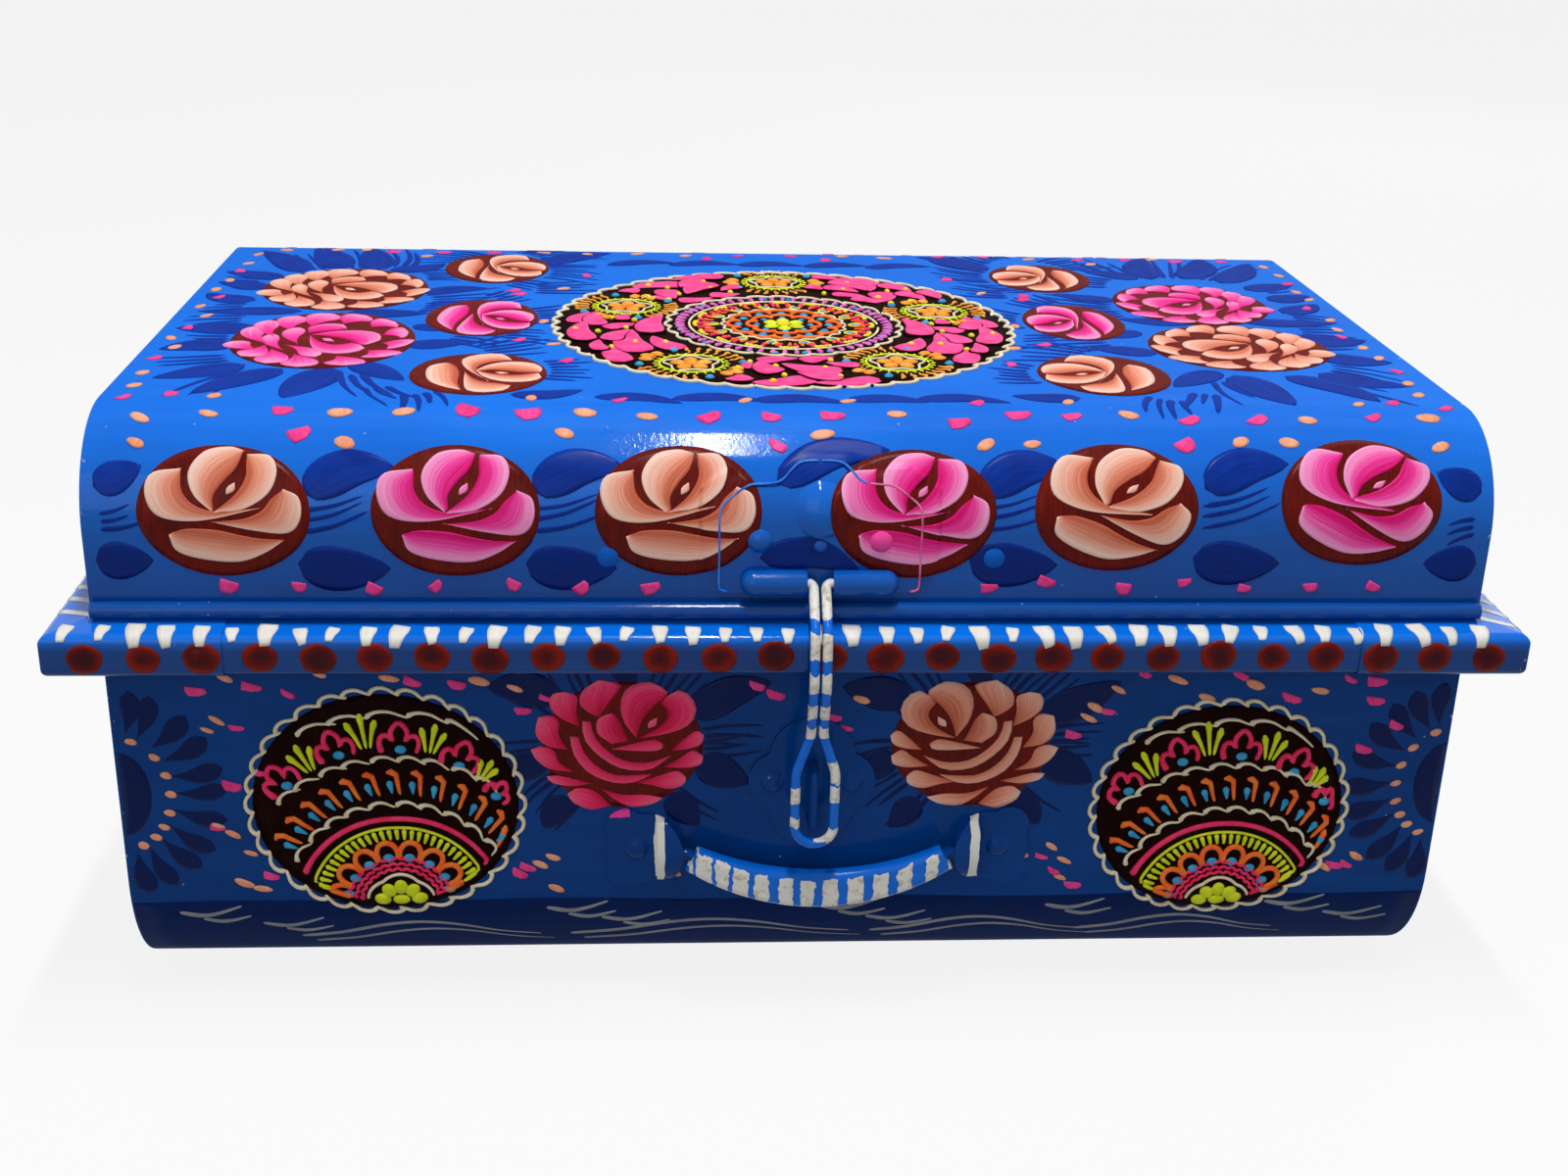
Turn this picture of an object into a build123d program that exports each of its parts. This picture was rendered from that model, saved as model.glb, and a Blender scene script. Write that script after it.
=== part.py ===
from build123d import *
import os

os.makedirs("parts", exist_ok=True)

# A sheet-metal trunk: bent wrap and end pans for the box and for its lid, a folded ledge round the
# mouth, wire hasp and staple at the front, a drop handle, and two hinges at the back.
# Millimetres. The origin is the centre of the base, +Z is up, and the front faces -Y.

# ---- driving dimensions ----------------------------------------------------------------------
sheet = 0.8                 # steel sheet of the box, the lid and the ledge
lap_gap = 0.05              # paint gap between sheets that lie on each other
seat_gap = 0.4              # gap between things that only rest on each other
cut_over = 1.0              # a cutting shape reaches this far past what it cuts
cut_block = 50.0            # width of the blocks that trim sections
hole_reach = 24.0           # length of the shapes that cut rivet holes

trunk_length = 526.0        # outside of the box, along X
trunk_depth = 336.0         # outside of the box, along Y
bottom_bend = 56.0          # outside radius where front and back turn under
flange = 10.0               # inward flange of each end pan
flange_relief = 2.0         # the lid's flanges stop this far above the collar
hem_fold = 8.0              # folded hem along the mouth of the box

ledge_top = 170.6           # height of the ledge where it leaves the box
ledge_drop = 2.0            # the ledge's top falls by this much to its outer edge
ledge_face = 15.6           # height of the ledge's outer face
ledge_width = 17.0          # how far the ledge stands out from the box
ledge_bend = 3.0            # outside bend radius of the ledge
collar = 10.4               # the box reaches this far above the ledge, inside the lid

cap_sheet = 0.6             # sheet of the corner caps
cap_leg = 66.0              # length of each leg of a corner cap
cap_rivet_inset = 57.0      # rivet's distance from the corner
cap_return = 3.5            # the cap's top stops this far from the box
mitre_spread = 3.0          # mitre cutters reach this far past the ledge

lid_clearance = 1.2         # between the lid's inside and the collar, on each side
lid_hem = 0.7               # the lid's lower edge stands this far above the ledge
lid_top = 244.0             # height of the closed lid
lid_bend = 40.0             # outside radius of the lid's front and back bends
hem_wire_diameter = 4.7     # wire rolled into the lid's front edge
hem_end_gap = 1.0           # the roll stops this far from the lid's ends

lock_x = 6.7                # the lock line sits a little right of the middle
hasp_plate_sheet = 1.0
hasp_plate_width = 76.0
hasp_plate_bottom = 181.0
hasp_plate_side_top = 215.0
hasp_plate_shoulder = 222.0
hasp_plate_peak = 229.0
hasp_plate_steps = (11.0, 22.0, 30.0)   # shoulder's start, its end and the peak, in from the plate's side
hasp_plate_corner = 5.0
knuckle_radius = 5.0
knuckle_length = 20.0
knuckle_gap = 10.0          # notch between the two knuckles, where the strands come out
dome_radius = 9.8
dome_height = 3.5
dome_z = 213.8
dome_rivet_z = 200.2

hasp_wire = 3.8             # diameter of the hasp's and the staple's wire
pin_clearance = 0.08        # radial running clearance of the hasp and the handle
pin_seat = 0.15             # metal between the hasp's bore and the plate's face
hasp_pin_length = 17.0      # how far each end of the hasp wire reaches into its knuckle
pin_end_gap = 1.0           # the bore goes on this far past the end of the hasp wire
strand_pitch = 4.7          # centre distance of the two strands
hasp_loop_width = 15.3      # centre-line width of the loop
hasp_shoulder = (22.0, 171.0)           # distance in front of the box, and height
hasp_below_ledge = (24.5, 152.0)        # the same
hasp_neck_z = 128.0
hasp_loop_top_z = 112.0
hasp_loop_bottom_z = 81.0
hasp_bends = (2.6, 8.0, 9.0, 12.0, 14.0)    # centre-line radii, from the pins down to the loop
bend_slack = 0.05           # a half-round bend stays this much under half its width

staple_reach = 14.0         # how far the staple stands out from its plate
staple_top_z = 108.0
staple_bottom_z = 84.5
staple_root = 1.5           # how far its ends reach inside the sheet
staple_bend = 4.0           # centre-line radius
staple_plate_sheet = 1.0
staple_plate_z = 99.7
staple_side_lobe = (12.2, 13.0)     # centre offset and radius of the plate's side lobes
staple_end_lobe = (10.7, 17.0)      # the same for its upper and lower lobes
staple_rivet_offset = 15.5

strap_width = 7.5           # stiffening strap inside the lid, behind the hasp plate
strap_length = 160.0
strap_sheet = 1.0
strap_z = 195.0
strap_rivet_inset = 7.0     # rivet's distance from the end of the strap
hasp_rivet_offset = 22.8
hasp_rivet_z = 202.0

handle_x = 10.2             # middle of the handle
handle_pivot_z = 70.0
handle_pivot_out = 5.4      # pivot axis in front of the box
handle_rivet_offset = 72.6
bracket_sheet = 1.0
bracket_lobe = (69.5, 15.5)         # distance from the middle and radius of the bracket's round lobe
bracket_tail = (77.0, 9.5, 8.0)     # distance, height and radius of the two tail lobes
pocket_outer = 64.5         # the raised pocket ends here
pocket_height = 28.0
pocket_depth = 8.5
pocket_wall = 2.0           # metal left beyond the end of the pivot wire
pivot_end_gap = 0.5         # the pivot wire stops this far short of that metal

handle_wire = 4.4           # diameter of the wire core
wire_step_start = 1.2       # the wire steps outward from this far outside the grip's end
wire_step_end = 2.5         # to this far inside it
wire_step_bend = 2.5        # centre-line radius of that step
bow_share = 0.9             # share of the bow that is one arc
grip_half_length = 50.5
grip_sag = 14.0             # the grip's middle hangs this far below its ends
grip_out = 9.0              # middle of the grip in front of the box
grip_thickness = 7.6
grip_height_middle = 16.0
grip_height_end = 11.0
grip_corner = 3.4
grip_stations = 9

hinge_inset = 98.0          # middle of each hinge, from the end of the trunk
hinge_width = 50.0
hinge_sheet = 1.5
hinge_pin = 4.0
hinge_pin_clearance = 0.05
hinge_barrel = 7.2
hinge_middle_knuckle = 24.0
hinge_back_gap = 0.3        # between the barrel and the back of the lid
knuckle_relief = 0.7        # room round each knuckle where the other leaf is cut away
pin_head = 0.8              # height of the pin's heads, and how far they stand out
pin_overhang = 0.5          # the pin stands this far out of the barrel at each end
hinge_leaf_top = 203.0
hinge_leaf_bottom = 154.5
hinge_rivet_offset = 15.0
hinge_upper_rivet_z = 196.0
hinge_lower_rivet_z = 161.0

rivet_shank = 3.2
rivet_head = 9.4
rivet_head_height = 2.2
flat_head = 8.6             # low rivets of the caps and the strap
flat_head_height = 1.2
small_head = 5.2            # small rivet below the dome
small_head_height = 1.1
small_shank = 2.0
small_tail = 2.8
rivet_tail = 4.2
rivet_tail_height = 0.9

# ---- derived places --------------------------------------------------------------------------
front = -trunk_depth / 2
mouth = ledge_top + collar
lid_length = trunk_length + 2 * (lid_clearance + sheet)
lid_depth = trunk_depth + 2 * (lid_clearance + sheet)
lid_bottom = ledge_top + lid_hem
lid_front = -lid_depth / 2
ledge_length = trunk_length + 2 * ledge_width
ledge_depth = trunk_depth + 2 * ledge_width
ledge_bottom = ledge_top - ledge_drop - ledge_face
ledge_slope = Vector(ledge_width, -ledge_drop, 0).normalized()
ledge_normal = Vector(ledge_drop, ledge_width, 0).normalized()
hinge_x = trunk_length / 2 - hinge_inset


def save(name, *solids):
    """Write one named node, which may hold several separate solids."""
    bodies = [body for item in solids for body in item.solids()]
    shape = bodies[0] if len(bodies) == 1 else Compound(children=bodies)
    export_step(shape, f"parts/{name}.step")


def outward_plane(direction, distance):
    """Sketch plane whose x points outward from the trunk and whose y points up."""
    out = Vector(*direction)
    return Plane(origin=out * distance, x_dir=out, z_dir=out.cross(Vector(0, 0, 1)))


FRONT = (0, -1, 0)
BACK = (0, 1, 0)
SIDES = {"front": FRONT, "back": BACK, "left": (-1, 0, 0), "right": (1, 0, 0)}


def half_size(direction, length, depth):
    """Half of the length or the depth, whichever lies along a direction."""
    return (length if direction[0] else depth) / 2


# ---- rivets ----------------------------------------------------------------------------------
def rivet(head_diameter, head_height, stack):
    """A domed rivet: head above z = 0, shank through the stack, upset tail below it."""
    small = head_diameter <= small_head
    shank = small_shank if small else rivet_shank
    tail = small_tail if small else rivet_tail
    ball = (head_diameter ** 2 / 4 + head_height ** 2) / (2 * head_height)
    dome = Pos(0, 0, head_height - ball) * Sphere(ball)
    above = Pos(0, 0, ball) * Box(3 * ball, 3 * ball, 2 * ball)
    body = dome & above
    body += Pos(0, 0, -stack / 2) * Cylinder(shank / 2, stack)
    body += Pos(0, 0, -stack - rivet_tail_height / 2) * Cylinder(tail / 2, rivet_tail_height)
    return body


def rivet_at(place, direction, head_diameter, head_height, stack):
    """A rivet whose head sits at a place and looks along a direction."""
    return Plane(origin=place, z_dir=Vector(*direction)) * rivet(head_diameter, head_height, stack)


def flat_rivets(places, direction, stack):
    """Low rivets, one at each place."""
    return [rivet_at(place, direction, flat_head, flat_head_height, stack) for place in places]


def tall_rivets(places, direction, stack):
    """Domed rivets, one at each place."""
    return [rivet_at(place, direction, rivet_head, rivet_head_height, stack) for place in places]


def rivet_holes(places, direction, shank=rivet_shank):
    """Clearance cylinders for rivet shanks, long enough to pass all the sheets."""
    hole = Cylinder(shank / 2 + lap_gap, hole_reach)
    return [Plane(origin=place, z_dir=Vector(*direction)) * hole for place in places]


# ---- sections of the box and the lid ---------------------------------------------------------
def box_section(depth, low, high, radius, bend_low):
    """Closed outline in the YZ plane, with its lower or its upper corners rounded."""
    face = Pos(0, (low + high) / 2) * Rectangle(depth, high - low)
    corners = face.vertices().group_by(Axis.Y)[0 if bend_low else -1]
    return fillet(corners, radius)


def trunk_outline(inset, top=mouth):
    return box_section(trunk_depth - 2 * inset, inset, top, bottom_bend - inset, True)


def lid_outline(offset, low=lid_bottom):
    return box_section(lid_depth + 2 * offset, low, lid_top + offset, lid_bend + offset, False)


def along_x(section, start, end):
    """Extrude a YZ section from one X to another."""
    return Pos(start, 0, 0) * extrude(Plane.YZ * section, end - start)


def end_pan(outline, half_length, side, inset):
    """A flat end with its flange turned inward; outline(inset) gives the sheet's outside."""
    pan = along_x(outline(inset), half_length - flange, half_length)
    pan -= along_x(outline(inset + sheet), half_length - flange - cut_over, half_length - sheet)
    return pan if side > 0 else mirror(pan, about=Plane.YZ)


# ---- box -------------------------------------------------------------------------------------
staple_face = front - lap_gap - staple_plate_sheet
staple_rivets = [(lock_x + s * staple_rivet_offset, staple_face, staple_plate_z) for s in (-1, 1)]
bracket_face = front - lap_gap - bracket_sheet
bracket_rivets = [(handle_x + s * handle_rivet_offset, bracket_face, handle_pivot_z) for s in (-1, 1)]


def staple_path():
    """Centre line of the staple: in at the top, down the outer bar, back in at the bottom."""
    bar = staple_face - staple_reach + hasp_wire / 2
    root = front + sheet + staple_root
    points = [(root, staple_top_z), (bar, staple_top_z), (bar, staple_bottom_z), (root, staple_bottom_z)]
    return FilletPolyline(*[(lock_x, y, z) for y, z in points], radius=staple_bend)


def wire_along(path, diameter):
    """Round wire along a path."""
    return sweep((path ^ 0) * Circle(diameter / 2), path=path)


def make_box():
    section = trunk_outline(0) - trunk_outline(sheet, mouth + cut_over)
    wrap = along_x(section, -trunk_length / 2, trunk_length / 2)
    fold_y = trunk_depth / 2 - 1.5 * sheet
    fold_length = trunk_length - 2 * (sheet + lap_gap)
    for side in (-1, 1):
        wrap += Pos(0, side * fold_y, mouth - hem_fold / 2) * Box(fold_length, sheet, hem_fold)
    wrap -= rivet_holes(staple_rivets + bracket_rivets, FRONT)
    wrap -= wire_along(staple_path(), hasp_wire + 2 * lap_gap)
    save("body_wrap", wrap)

    def pan_outline(inset):
        top = mouth if inset < sheet + 2 * lap_gap else mouth + cut_over
        return trunk_outline(inset, top)

    for name, side in (("left", -1), ("right", 1)):
        pan = end_pan(pan_outline, trunk_length / 2, side, sheet + lap_gap)
        pan -= Pos(0, 0, mouth) * Box(trunk_length - 2 * sheet, trunk_depth, 2 * hem_fold + cut_over)
        fold_depth = trunk_depth - 2 * (2 * sheet + lap_gap)
        fold = Pos(side * (trunk_length / 2 - 1.5 * sheet), 0, mouth - hem_fold / 2)
        pan += fold * Box(sheet, fold_depth, hem_fold)
        save(f"body_end_{name}", pan)


# ---- ledge and its corner caps ---------------------------------------------------------------
def ledge_outline(offset):
    """Outside of the ledge as a closed face, carried on into the box so that it can be cut open."""
    behind = 5.0
    rise = behind * ledge_drop / ledge_width
    corners = [
        (-behind, ledge_top + rise),
        (ledge_width, ledge_top - ledge_drop),
        (ledge_width, ledge_bottom),
        (-behind, ledge_bottom),
    ]
    face = Polygon(*corners, align=None)
    outer = face.vertices().group_by(Axis.X)[-1]
    face = fillet(outer, ledge_bend)
    return offset_face(face, offset)


def offset_face(face, amount):
    return offset(face, amount=amount) if amount else face


def mitre(direction, reach):
    """Plan-view prism that ends a ledge strip with a mitre at both corners."""
    half_out = half_size(direction, ledge_length, ledge_depth)
    half_along = half_size((direction[1], direction[0]), ledge_length, ledge_depth)
    corners = [
        (half_out + mitre_spread, half_along + mitre_spread),
        (half_out + mitre_spread, -half_along - mitre_spread),
        (half_out - reach, -half_along + reach),
        (half_out - reach, half_along - reach),
    ]
    out = Vector(*direction)
    plan = Plane(origin=(0, 0, 0), x_dir=out, z_dir=(0, 0, 1))
    return extrude(plan * make_face(Polyline(*corners, close=True)), 2 * ledge_top)


def ledge_strip(direction, section, inner):
    """A section carried along one side of the trunk; inner is how near the box it comes."""
    keep = section - Pos(inner - cut_block / 2, ledge_top / 2) * Rectangle(cut_block, 4 * ledge_top)
    plane = outward_plane(direction, half_size(direction, trunk_length, trunk_depth))
    half_along = half_size((direction[1], direction[0]), ledge_length, ledge_depth) + mitre_spread
    bar = extrude(plane * keep, half_along, both=True)
    return bar & mitre(direction, ledge_width + mitre_spread)


def cap_rivet_places(corner_x, corner_y):
    """Rivet places of one corner cap: one on the front or back face, one on the end face."""
    half_x = ledge_length / 2 + lap_gap + cap_sheet
    half_y = ledge_depth / 2 + lap_gap + cap_sheet
    z = ledge_bottom + ledge_face / 2
    on_long_side = (corner_x * (half_x - cap_rivet_inset), corner_y * half_y, z)
    on_short_side = (corner_x * half_x, corner_y * (half_y - cap_rivet_inset), z)
    return on_long_side, on_short_side


CORNERS = [(x, y) for x in (-1, 1) for y in (-1, 1)]


def make_ledge():
    channel = ledge_outline(0) - ledge_outline(-sheet)
    strips = {}
    for name, direction in SIDES.items():
        strips[name] = ledge_strip(direction, channel, 0)
    skin = ledge_outline(lap_gap + cap_sheet) - ledge_outline(lap_gap)
    covers = {name: ledge_strip(d, skin, cap_return) for name, d in SIDES.items()}
    rivets = []
    stack = cap_sheet + lap_gap + sheet
    for x, y in CORNERS:
        long_name = "front" if y < 0 else "back"
        short_name = "left" if x < 0 else "right"
        edge_x = ledge_length / 2 + lap_gap + cap_sheet
        edge_y = ledge_depth / 2 + lap_gap + cap_sheet
        window = Pos(x * edge_x, y * edge_y, ledge_top) * Box(2 * cap_leg, 2 * cap_leg, 4 * ledge_face)
        cap = (covers[long_name] & window) + (covers[short_name] & window)
        on_long, on_short = cap_rivet_places(x, y)
        cap -= rivet_holes([on_long], (0, y, 0)) + rivet_holes([on_short], (x, 0, 0))
        strips[long_name] -= rivet_holes([on_long], (0, y, 0))
        strips[short_name] -= rivet_holes([on_short], (x, 0, 0))
        rivets += flat_rivets([on_long], (0, y, 0), stack) + flat_rivets([on_short], (x, 0, 0), stack)
        save(f"corner_cap_{long_name}_{short_name}", cap)
    save("corner_rivets", *rivets)
    strips["back"] -= rivet_holes(hinge_lower_rivets(), BACK)
    for name, strip in strips.items():
        save(f"ledge_{name}", strip)


# ---- lid -------------------------------------------------------------------------------------
hem_roll_radius = hem_wire_diameter / 2 + lap_gap + sheet
hem_roll_y = lid_front + sheet - hem_roll_radius
hem_roll_z = lid_bottom + hem_roll_radius
plate_rise = lap_gap + hasp_plate_sheet     # the hasp plate's face stands this far off the lid
plate_face = lid_front - plate_rise
strap_rivet_offset = strap_length / 2 - strap_rivet_inset


def lid_normal(z):
    """Outward direction of the lid's front at a height: level on the wall, tipped on the bend."""
    climb = max(0, z - lid_top + lid_bend)
    return Vector(0, -((lid_bend ** 2 - climb ** 2) ** 0.5), climb).normalized()


def on_lid(x, z, rise=0):
    """The point that stands off the lid's front, square to it, where its sheet has a height."""
    normal = lid_normal(z)
    foot = Vector(x, lid_front + lid_bend * (1 + normal.Y), z)
    return foot + normal * rise


hasp_rivets = [on_lid(lock_x + s * hasp_rivet_offset, hasp_rivet_z, plate_rise) for s in (-1, 1)]
dome_rivet = on_lid(lock_x, dome_rivet_z, plate_rise)
strap_rivets = [on_lid(s * strap_rivet_offset, strap_z) for s in (-1, 1)]


def lid_front_holes():
    """Holes for every rivet that passes through the front of the lid."""
    holes = rivet_holes(hasp_rivets, lid_normal(hasp_rivet_z))
    holes += rivet_holes(strap_rivets, lid_normal(strap_z))
    return holes + rivet_holes([dome_rivet], lid_normal(dome_rivet_z), small_shank)


def make_lid():
    section = lid_outline(0) - lid_outline(-sheet, lid_bottom - cut_over)
    below_roll = hem_roll_z - lid_bottom
    section -= Pos(lid_front, lid_bottom + below_roll / 2) * Rectangle(4 * sheet, below_roll)
    wrap = along_x(section, -lid_length / 2, lid_length / 2)
    roll = Pos(hem_roll_y, hem_roll_z) * Circle(hem_roll_radius)
    bore = Pos(hem_roll_y, hem_roll_z) * Circle(hem_wire_diameter / 2 + lap_gap)
    half_roll = lid_length / 2 - hem_end_gap
    wrap += along_x(roll, -half_roll, half_roll)
    wrap -= along_x(bore, -half_roll - cut_over, half_roll + cut_over)
    wrap -= lid_front_holes() + rivet_holes(hinge_upper_rivets(), BACK)
    save("lid_wrap", wrap)

    wire = Pos(hem_roll_y, hem_roll_z) * Circle(hem_wire_diameter / 2)
    save("lid_hem_wire", along_x(wire, -half_roll, half_roll))

    def pan_outline(inset):
        low = lid_bottom if inset < sheet + 2 * lap_gap else lid_bottom - cut_over
        return lid_outline(-inset, low)

    for name, side in (("left", -1), ("right", 1)):
        pan = end_pan(pan_outline, lid_length / 2, side, sheet + lap_gap)
        below_flanges = Pos(0, 0, mouth + flange_relief - lid_top / 2)
        pan -= below_flanges * Box(lid_length - 2 * sheet, lid_depth, lid_top)
        save(f"lid_end_{name}", pan)

    strap_gap = sheet + lap_gap
    band = lid_outline(-strap_gap) - lid_outline(-strap_gap - strap_sheet, lid_bottom - cut_over)
    band &= Pos(lid_front, strap_z) * Rectangle(2 * lid_bend, strap_width)
    strap = along_x(band, -strap_length / 2, strap_length / 2)
    strap -= rivet_holes(strap_rivets, lid_normal(strap_z))
    save("lid_strap", strap)
    save("lid_strap_rivets", *flat_rivets(strap_rivets, lid_normal(strap_z), strap_gap + strap_sheet))


# ---- hasp plate, hasp and staple -------------------------------------------------------------
pivot_y = plate_face - hasp_wire / 2 - pin_clearance - pin_seat
pivot_z = hasp_plate_bottom + knuckle_radius


def hasp_plate_outline():
    half = hasp_plate_width / 2
    shoulder_start, shoulder_end, peak = hasp_plate_steps
    right = [
        (half, hasp_plate_bottom),
        (half, hasp_plate_side_top),
        (half - shoulder_start, hasp_plate_shoulder),
        (half - shoulder_end, hasp_plate_shoulder),
        (half - peak, hasp_plate_peak),
    ]
    left = [(-x, z) for x, z in reversed(right)]
    face = make_face(Polyline(*right, *left, close=True))
    return fillet(face.vertices(), hasp_plate_corner)


def dome():
    """The pressed dome, as a lens that is sunk a little way into the plate."""
    ball = (dome_radius ** 2 + dome_height ** 2) / (2 * dome_height)
    place = Plane(origin=on_lid(lock_x, dome_z, plate_rise), x_dir=(1, 0, 0), z_dir=lid_normal(dome_z))
    lens = Pos(0, 0, dome_height - ball) * Sphere(ball)
    lens &= Pos(0, 0, ball - hasp_plate_sheet) * Box(3 * ball, 3 * ball, 2 * ball)
    return place * lens


def make_hasp_plate():
    band = lid_outline(plate_rise) - lid_outline(lap_gap, lid_bottom - cut_over)
    half = hasp_plate_width
    plate = along_x(band, lock_x - half, lock_x + half)
    facing = Plane(origin=(lock_x, 0, 0), x_dir=(1, 0, 0), z_dir=FRONT)
    plate &= extrude(facing * hasp_plate_outline(), lid_depth)

    lid_body = along_x(lid_outline(lap_gap), lock_x - half, lock_x + half)
    plate += dome() - lid_body

    for side in (-1, 1):
        inner = side * knuckle_gap / 2
        middle = lock_x + inner + side * knuckle_length / 2
        knuckle = Pos(middle, pivot_y, pivot_z) * Rot(0, 90, 0) * Cylinder(knuckle_radius, knuckle_length)
        knuckle += Pos(lock_x + inner + side * knuckle_length, pivot_y, pivot_z) * Sphere(knuckle_radius)
        plate += knuckle - lid_body
    notch_height = 2 * knuckle_radius
    notch = Pos(lock_x, plate_face, hasp_plate_bottom + notch_height / 2)
    plate -= notch * Box(knuckle_gap, 4 * knuckle_radius, notch_height)
    bore_length = knuckle_gap + 2 * (hasp_pin_length + pin_end_gap)
    bore = Cylinder(hasp_wire / 2 + pin_clearance, bore_length)
    plate -= Pos(lock_x, pivot_y, pivot_z) * Rot(0, 90, 0) * bore
    plate -= lid_front_holes()
    save("hasp_plate", plate)
    stack = plate_rise + sheet
    rivets = tall_rivets(hasp_rivets, lid_normal(hasp_rivet_z), stack)
    rivets.append(rivet_at(dome_rivet, lid_normal(dome_rivet_z), small_head, small_head_height, stack))
    save("hasp_plate_rivets", *rivets)


def make_hasp():
    """One bent wire: pins in the knuckles, two strands over the ledge, and the loop."""
    loop_y = staple_face - staple_reach - seat_gap - hasp_wire / 2
    strand = strand_pitch / 2
    loop = hasp_loop_width / 2
    right = [
        (knuckle_gap / 2 + hasp_pin_length, pivot_y, pivot_z),
        (strand, pivot_y, pivot_z),
        *[(strand, front - out, z) for out, z in (hasp_shoulder, hasp_below_ledge)],
        (strand, loop_y, hasp_neck_z),
        (loop, loop_y, hasp_loop_top_z),
        (loop, loop_y, hasp_loop_bottom_z),
    ]
    left = [(-x, y, z) for x, y, z in reversed(right)]
    radii = [*hasp_bends, loop - bend_slack]
    path = FilletPolyline(*right, *left, radius=radii + radii[::-1])
    save("hasp", Pos(lock_x, 0, 0) * wire_along(path, hasp_wire))


def make_staple():
    facing = Plane(origin=(lock_x, front - lap_gap, staple_plate_z), x_dir=(1, 0, 0), z_dir=FRONT)
    outline = Sketch()
    for side in (-1, 1):
        outline += Pos(side * staple_side_lobe[0], 0) * Circle(staple_side_lobe[1])
        outline += Pos(0, side * staple_end_lobe[0]) * Circle(staple_end_lobe[1])
    plate = extrude(facing * outline, staple_plate_sheet)
    plate -= rivet_holes(staple_rivets, FRONT)
    plate -= wire_along(staple_path(), hasp_wire + 2 * lap_gap)
    save("staple_plate", plate)
    save("staple", wire_along(staple_path(), hasp_wire))
    stack = staple_plate_sheet + lap_gap + sheet
    save("staple_rivets", *tall_rivets(staple_rivets, FRONT, stack))


# ---- handle ----------------------------------------------------------------------------------
handle_pivot_y = front - handle_pivot_out
grip_y = front - grip_out


def make_brackets():
    for name, side in (("left", -1), ("right", 1)):
        facing = Plane(origin=(handle_x, front - lap_gap, handle_pivot_z), x_dir=(1, 0, 0), z_dir=FRONT)
        lobe = Pos(side * bracket_lobe[0], 0) * Circle(bracket_lobe[1])
        tail_x, tail_z, tail_radius = bracket_tail
        outline = lobe
        for up in (-1, 1):
            outline += Pos(side * tail_x, up * tail_z) * Circle(tail_radius)
        bracket = extrude(facing * outline, bracket_sheet)
        start, end = sorted((side * (bracket_lobe[0] - bracket_lobe[1]), side * pocket_outer))
        swell = Pos(front - lap_gap, handle_pivot_z) * Ellipse(pocket_depth, pocket_height / 2)
        behind_sheet = Pos(front - lap_gap + cut_block / 2, handle_pivot_z)
        swell -= behind_sheet * Rectangle(cut_block, 2 * pocket_height)
        pocket = along_x(swell, handle_x + start, handle_x + end)
        bracket += pocket & extrude(facing * lobe, pocket_depth)
        bore_end = handle_x + side * (pocket_outer - pocket_wall)
        bore_start = handle_x + side * (bracket_lobe[0] - bracket_lobe[1] - cut_over)
        bore = Pos(handle_pivot_y, handle_pivot_z) * Circle(handle_wire / 2 + pin_clearance)
        bracket -= along_x(bore, min(bore_start, bore_end), max(bore_start, bore_end))
        bracket -= rivet_holes(bracket_rivets, FRONT)
        save(f"handle_bracket_{name}", bracket)
    stack = bracket_sheet + lap_gap + sheet
    save("handle_rivets", *tall_rivets(bracket_rivets, FRONT, stack))


bow_radius = (grip_half_length ** 2 + grip_sag ** 2) / (2 * grip_sag)


def handle_path():
    """Centre line of the handle's wire: pivot pins at both ends, a step outward, then the bow."""
    pin_end = pocket_outer - pocket_wall - pivot_end_gap
    end_slope = grip_half_length / (bow_radius - grip_sag)
    start = grip_half_length - wire_step_end
    start_z = handle_pivot_z - (grip_half_length - start) * end_slope
    apex_z = handle_pivot_z - grip_half_length * end_slope
    left = [
        (-pin_end, handle_pivot_y, handle_pivot_z),
        (-grip_half_length - wire_step_start, handle_pivot_y, handle_pivot_z),
        (-start, grip_y, start_z),
    ]
    right = [(-x, y, z) for x, y, z in reversed(left)]
    step = [wire_step_bend, wire_step_bend]
    radii = [*step, bow_share * bow_radius, *step]
    path = FilletPolyline(*left, (0, grip_y, apex_z), *right, radius=radii)
    return Pos(handle_x, 0, 0) * path


def make_handle():
    bow_centre_z = handle_pivot_z - grip_sag + bow_radius
    sections = []
    for index in range(grip_stations):
        share = 2 * index / (grip_stations - 1) - 1
        x = share * grip_half_length
        drop = (bow_radius ** 2 - x ** 2) ** 0.5
        tangent = Vector(drop, 0, x)
        height = grip_height_end + (grip_height_middle - grip_height_end) * (1 - share ** 2)
        place = Plane(
            origin=(handle_x + x, grip_y, bow_centre_z - drop),
            x_dir=(0, 1, 0),
            z_dir=tangent,
        )
        sections.append(place * RectangleRounded(grip_thickness, height, grip_corner))
    grip = loft(Sketch() + sections)
    grip -= wire_along(handle_path(), handle_wire + 2 * lap_gap)
    save("handle_grip", grip)
    save("handle_wire", wire_along(handle_path(), handle_wire))


# ---- hinges ----------------------------------------------------------------------------------
# The pin's axis lies just behind the lid's back wall, one barrel above the sloping ledge.
hinge_y = -lid_front + hinge_barrel / 2 + hinge_back_gap
ledge_at_hinge = ledge_top - (hinge_y - trunk_depth / 2) * ledge_drop / ledge_width
hinge_lift = hinge_barrel / 2 + seat_gap
hinge_z = ledge_at_hinge + hinge_lift / ledge_normal.Y


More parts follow.
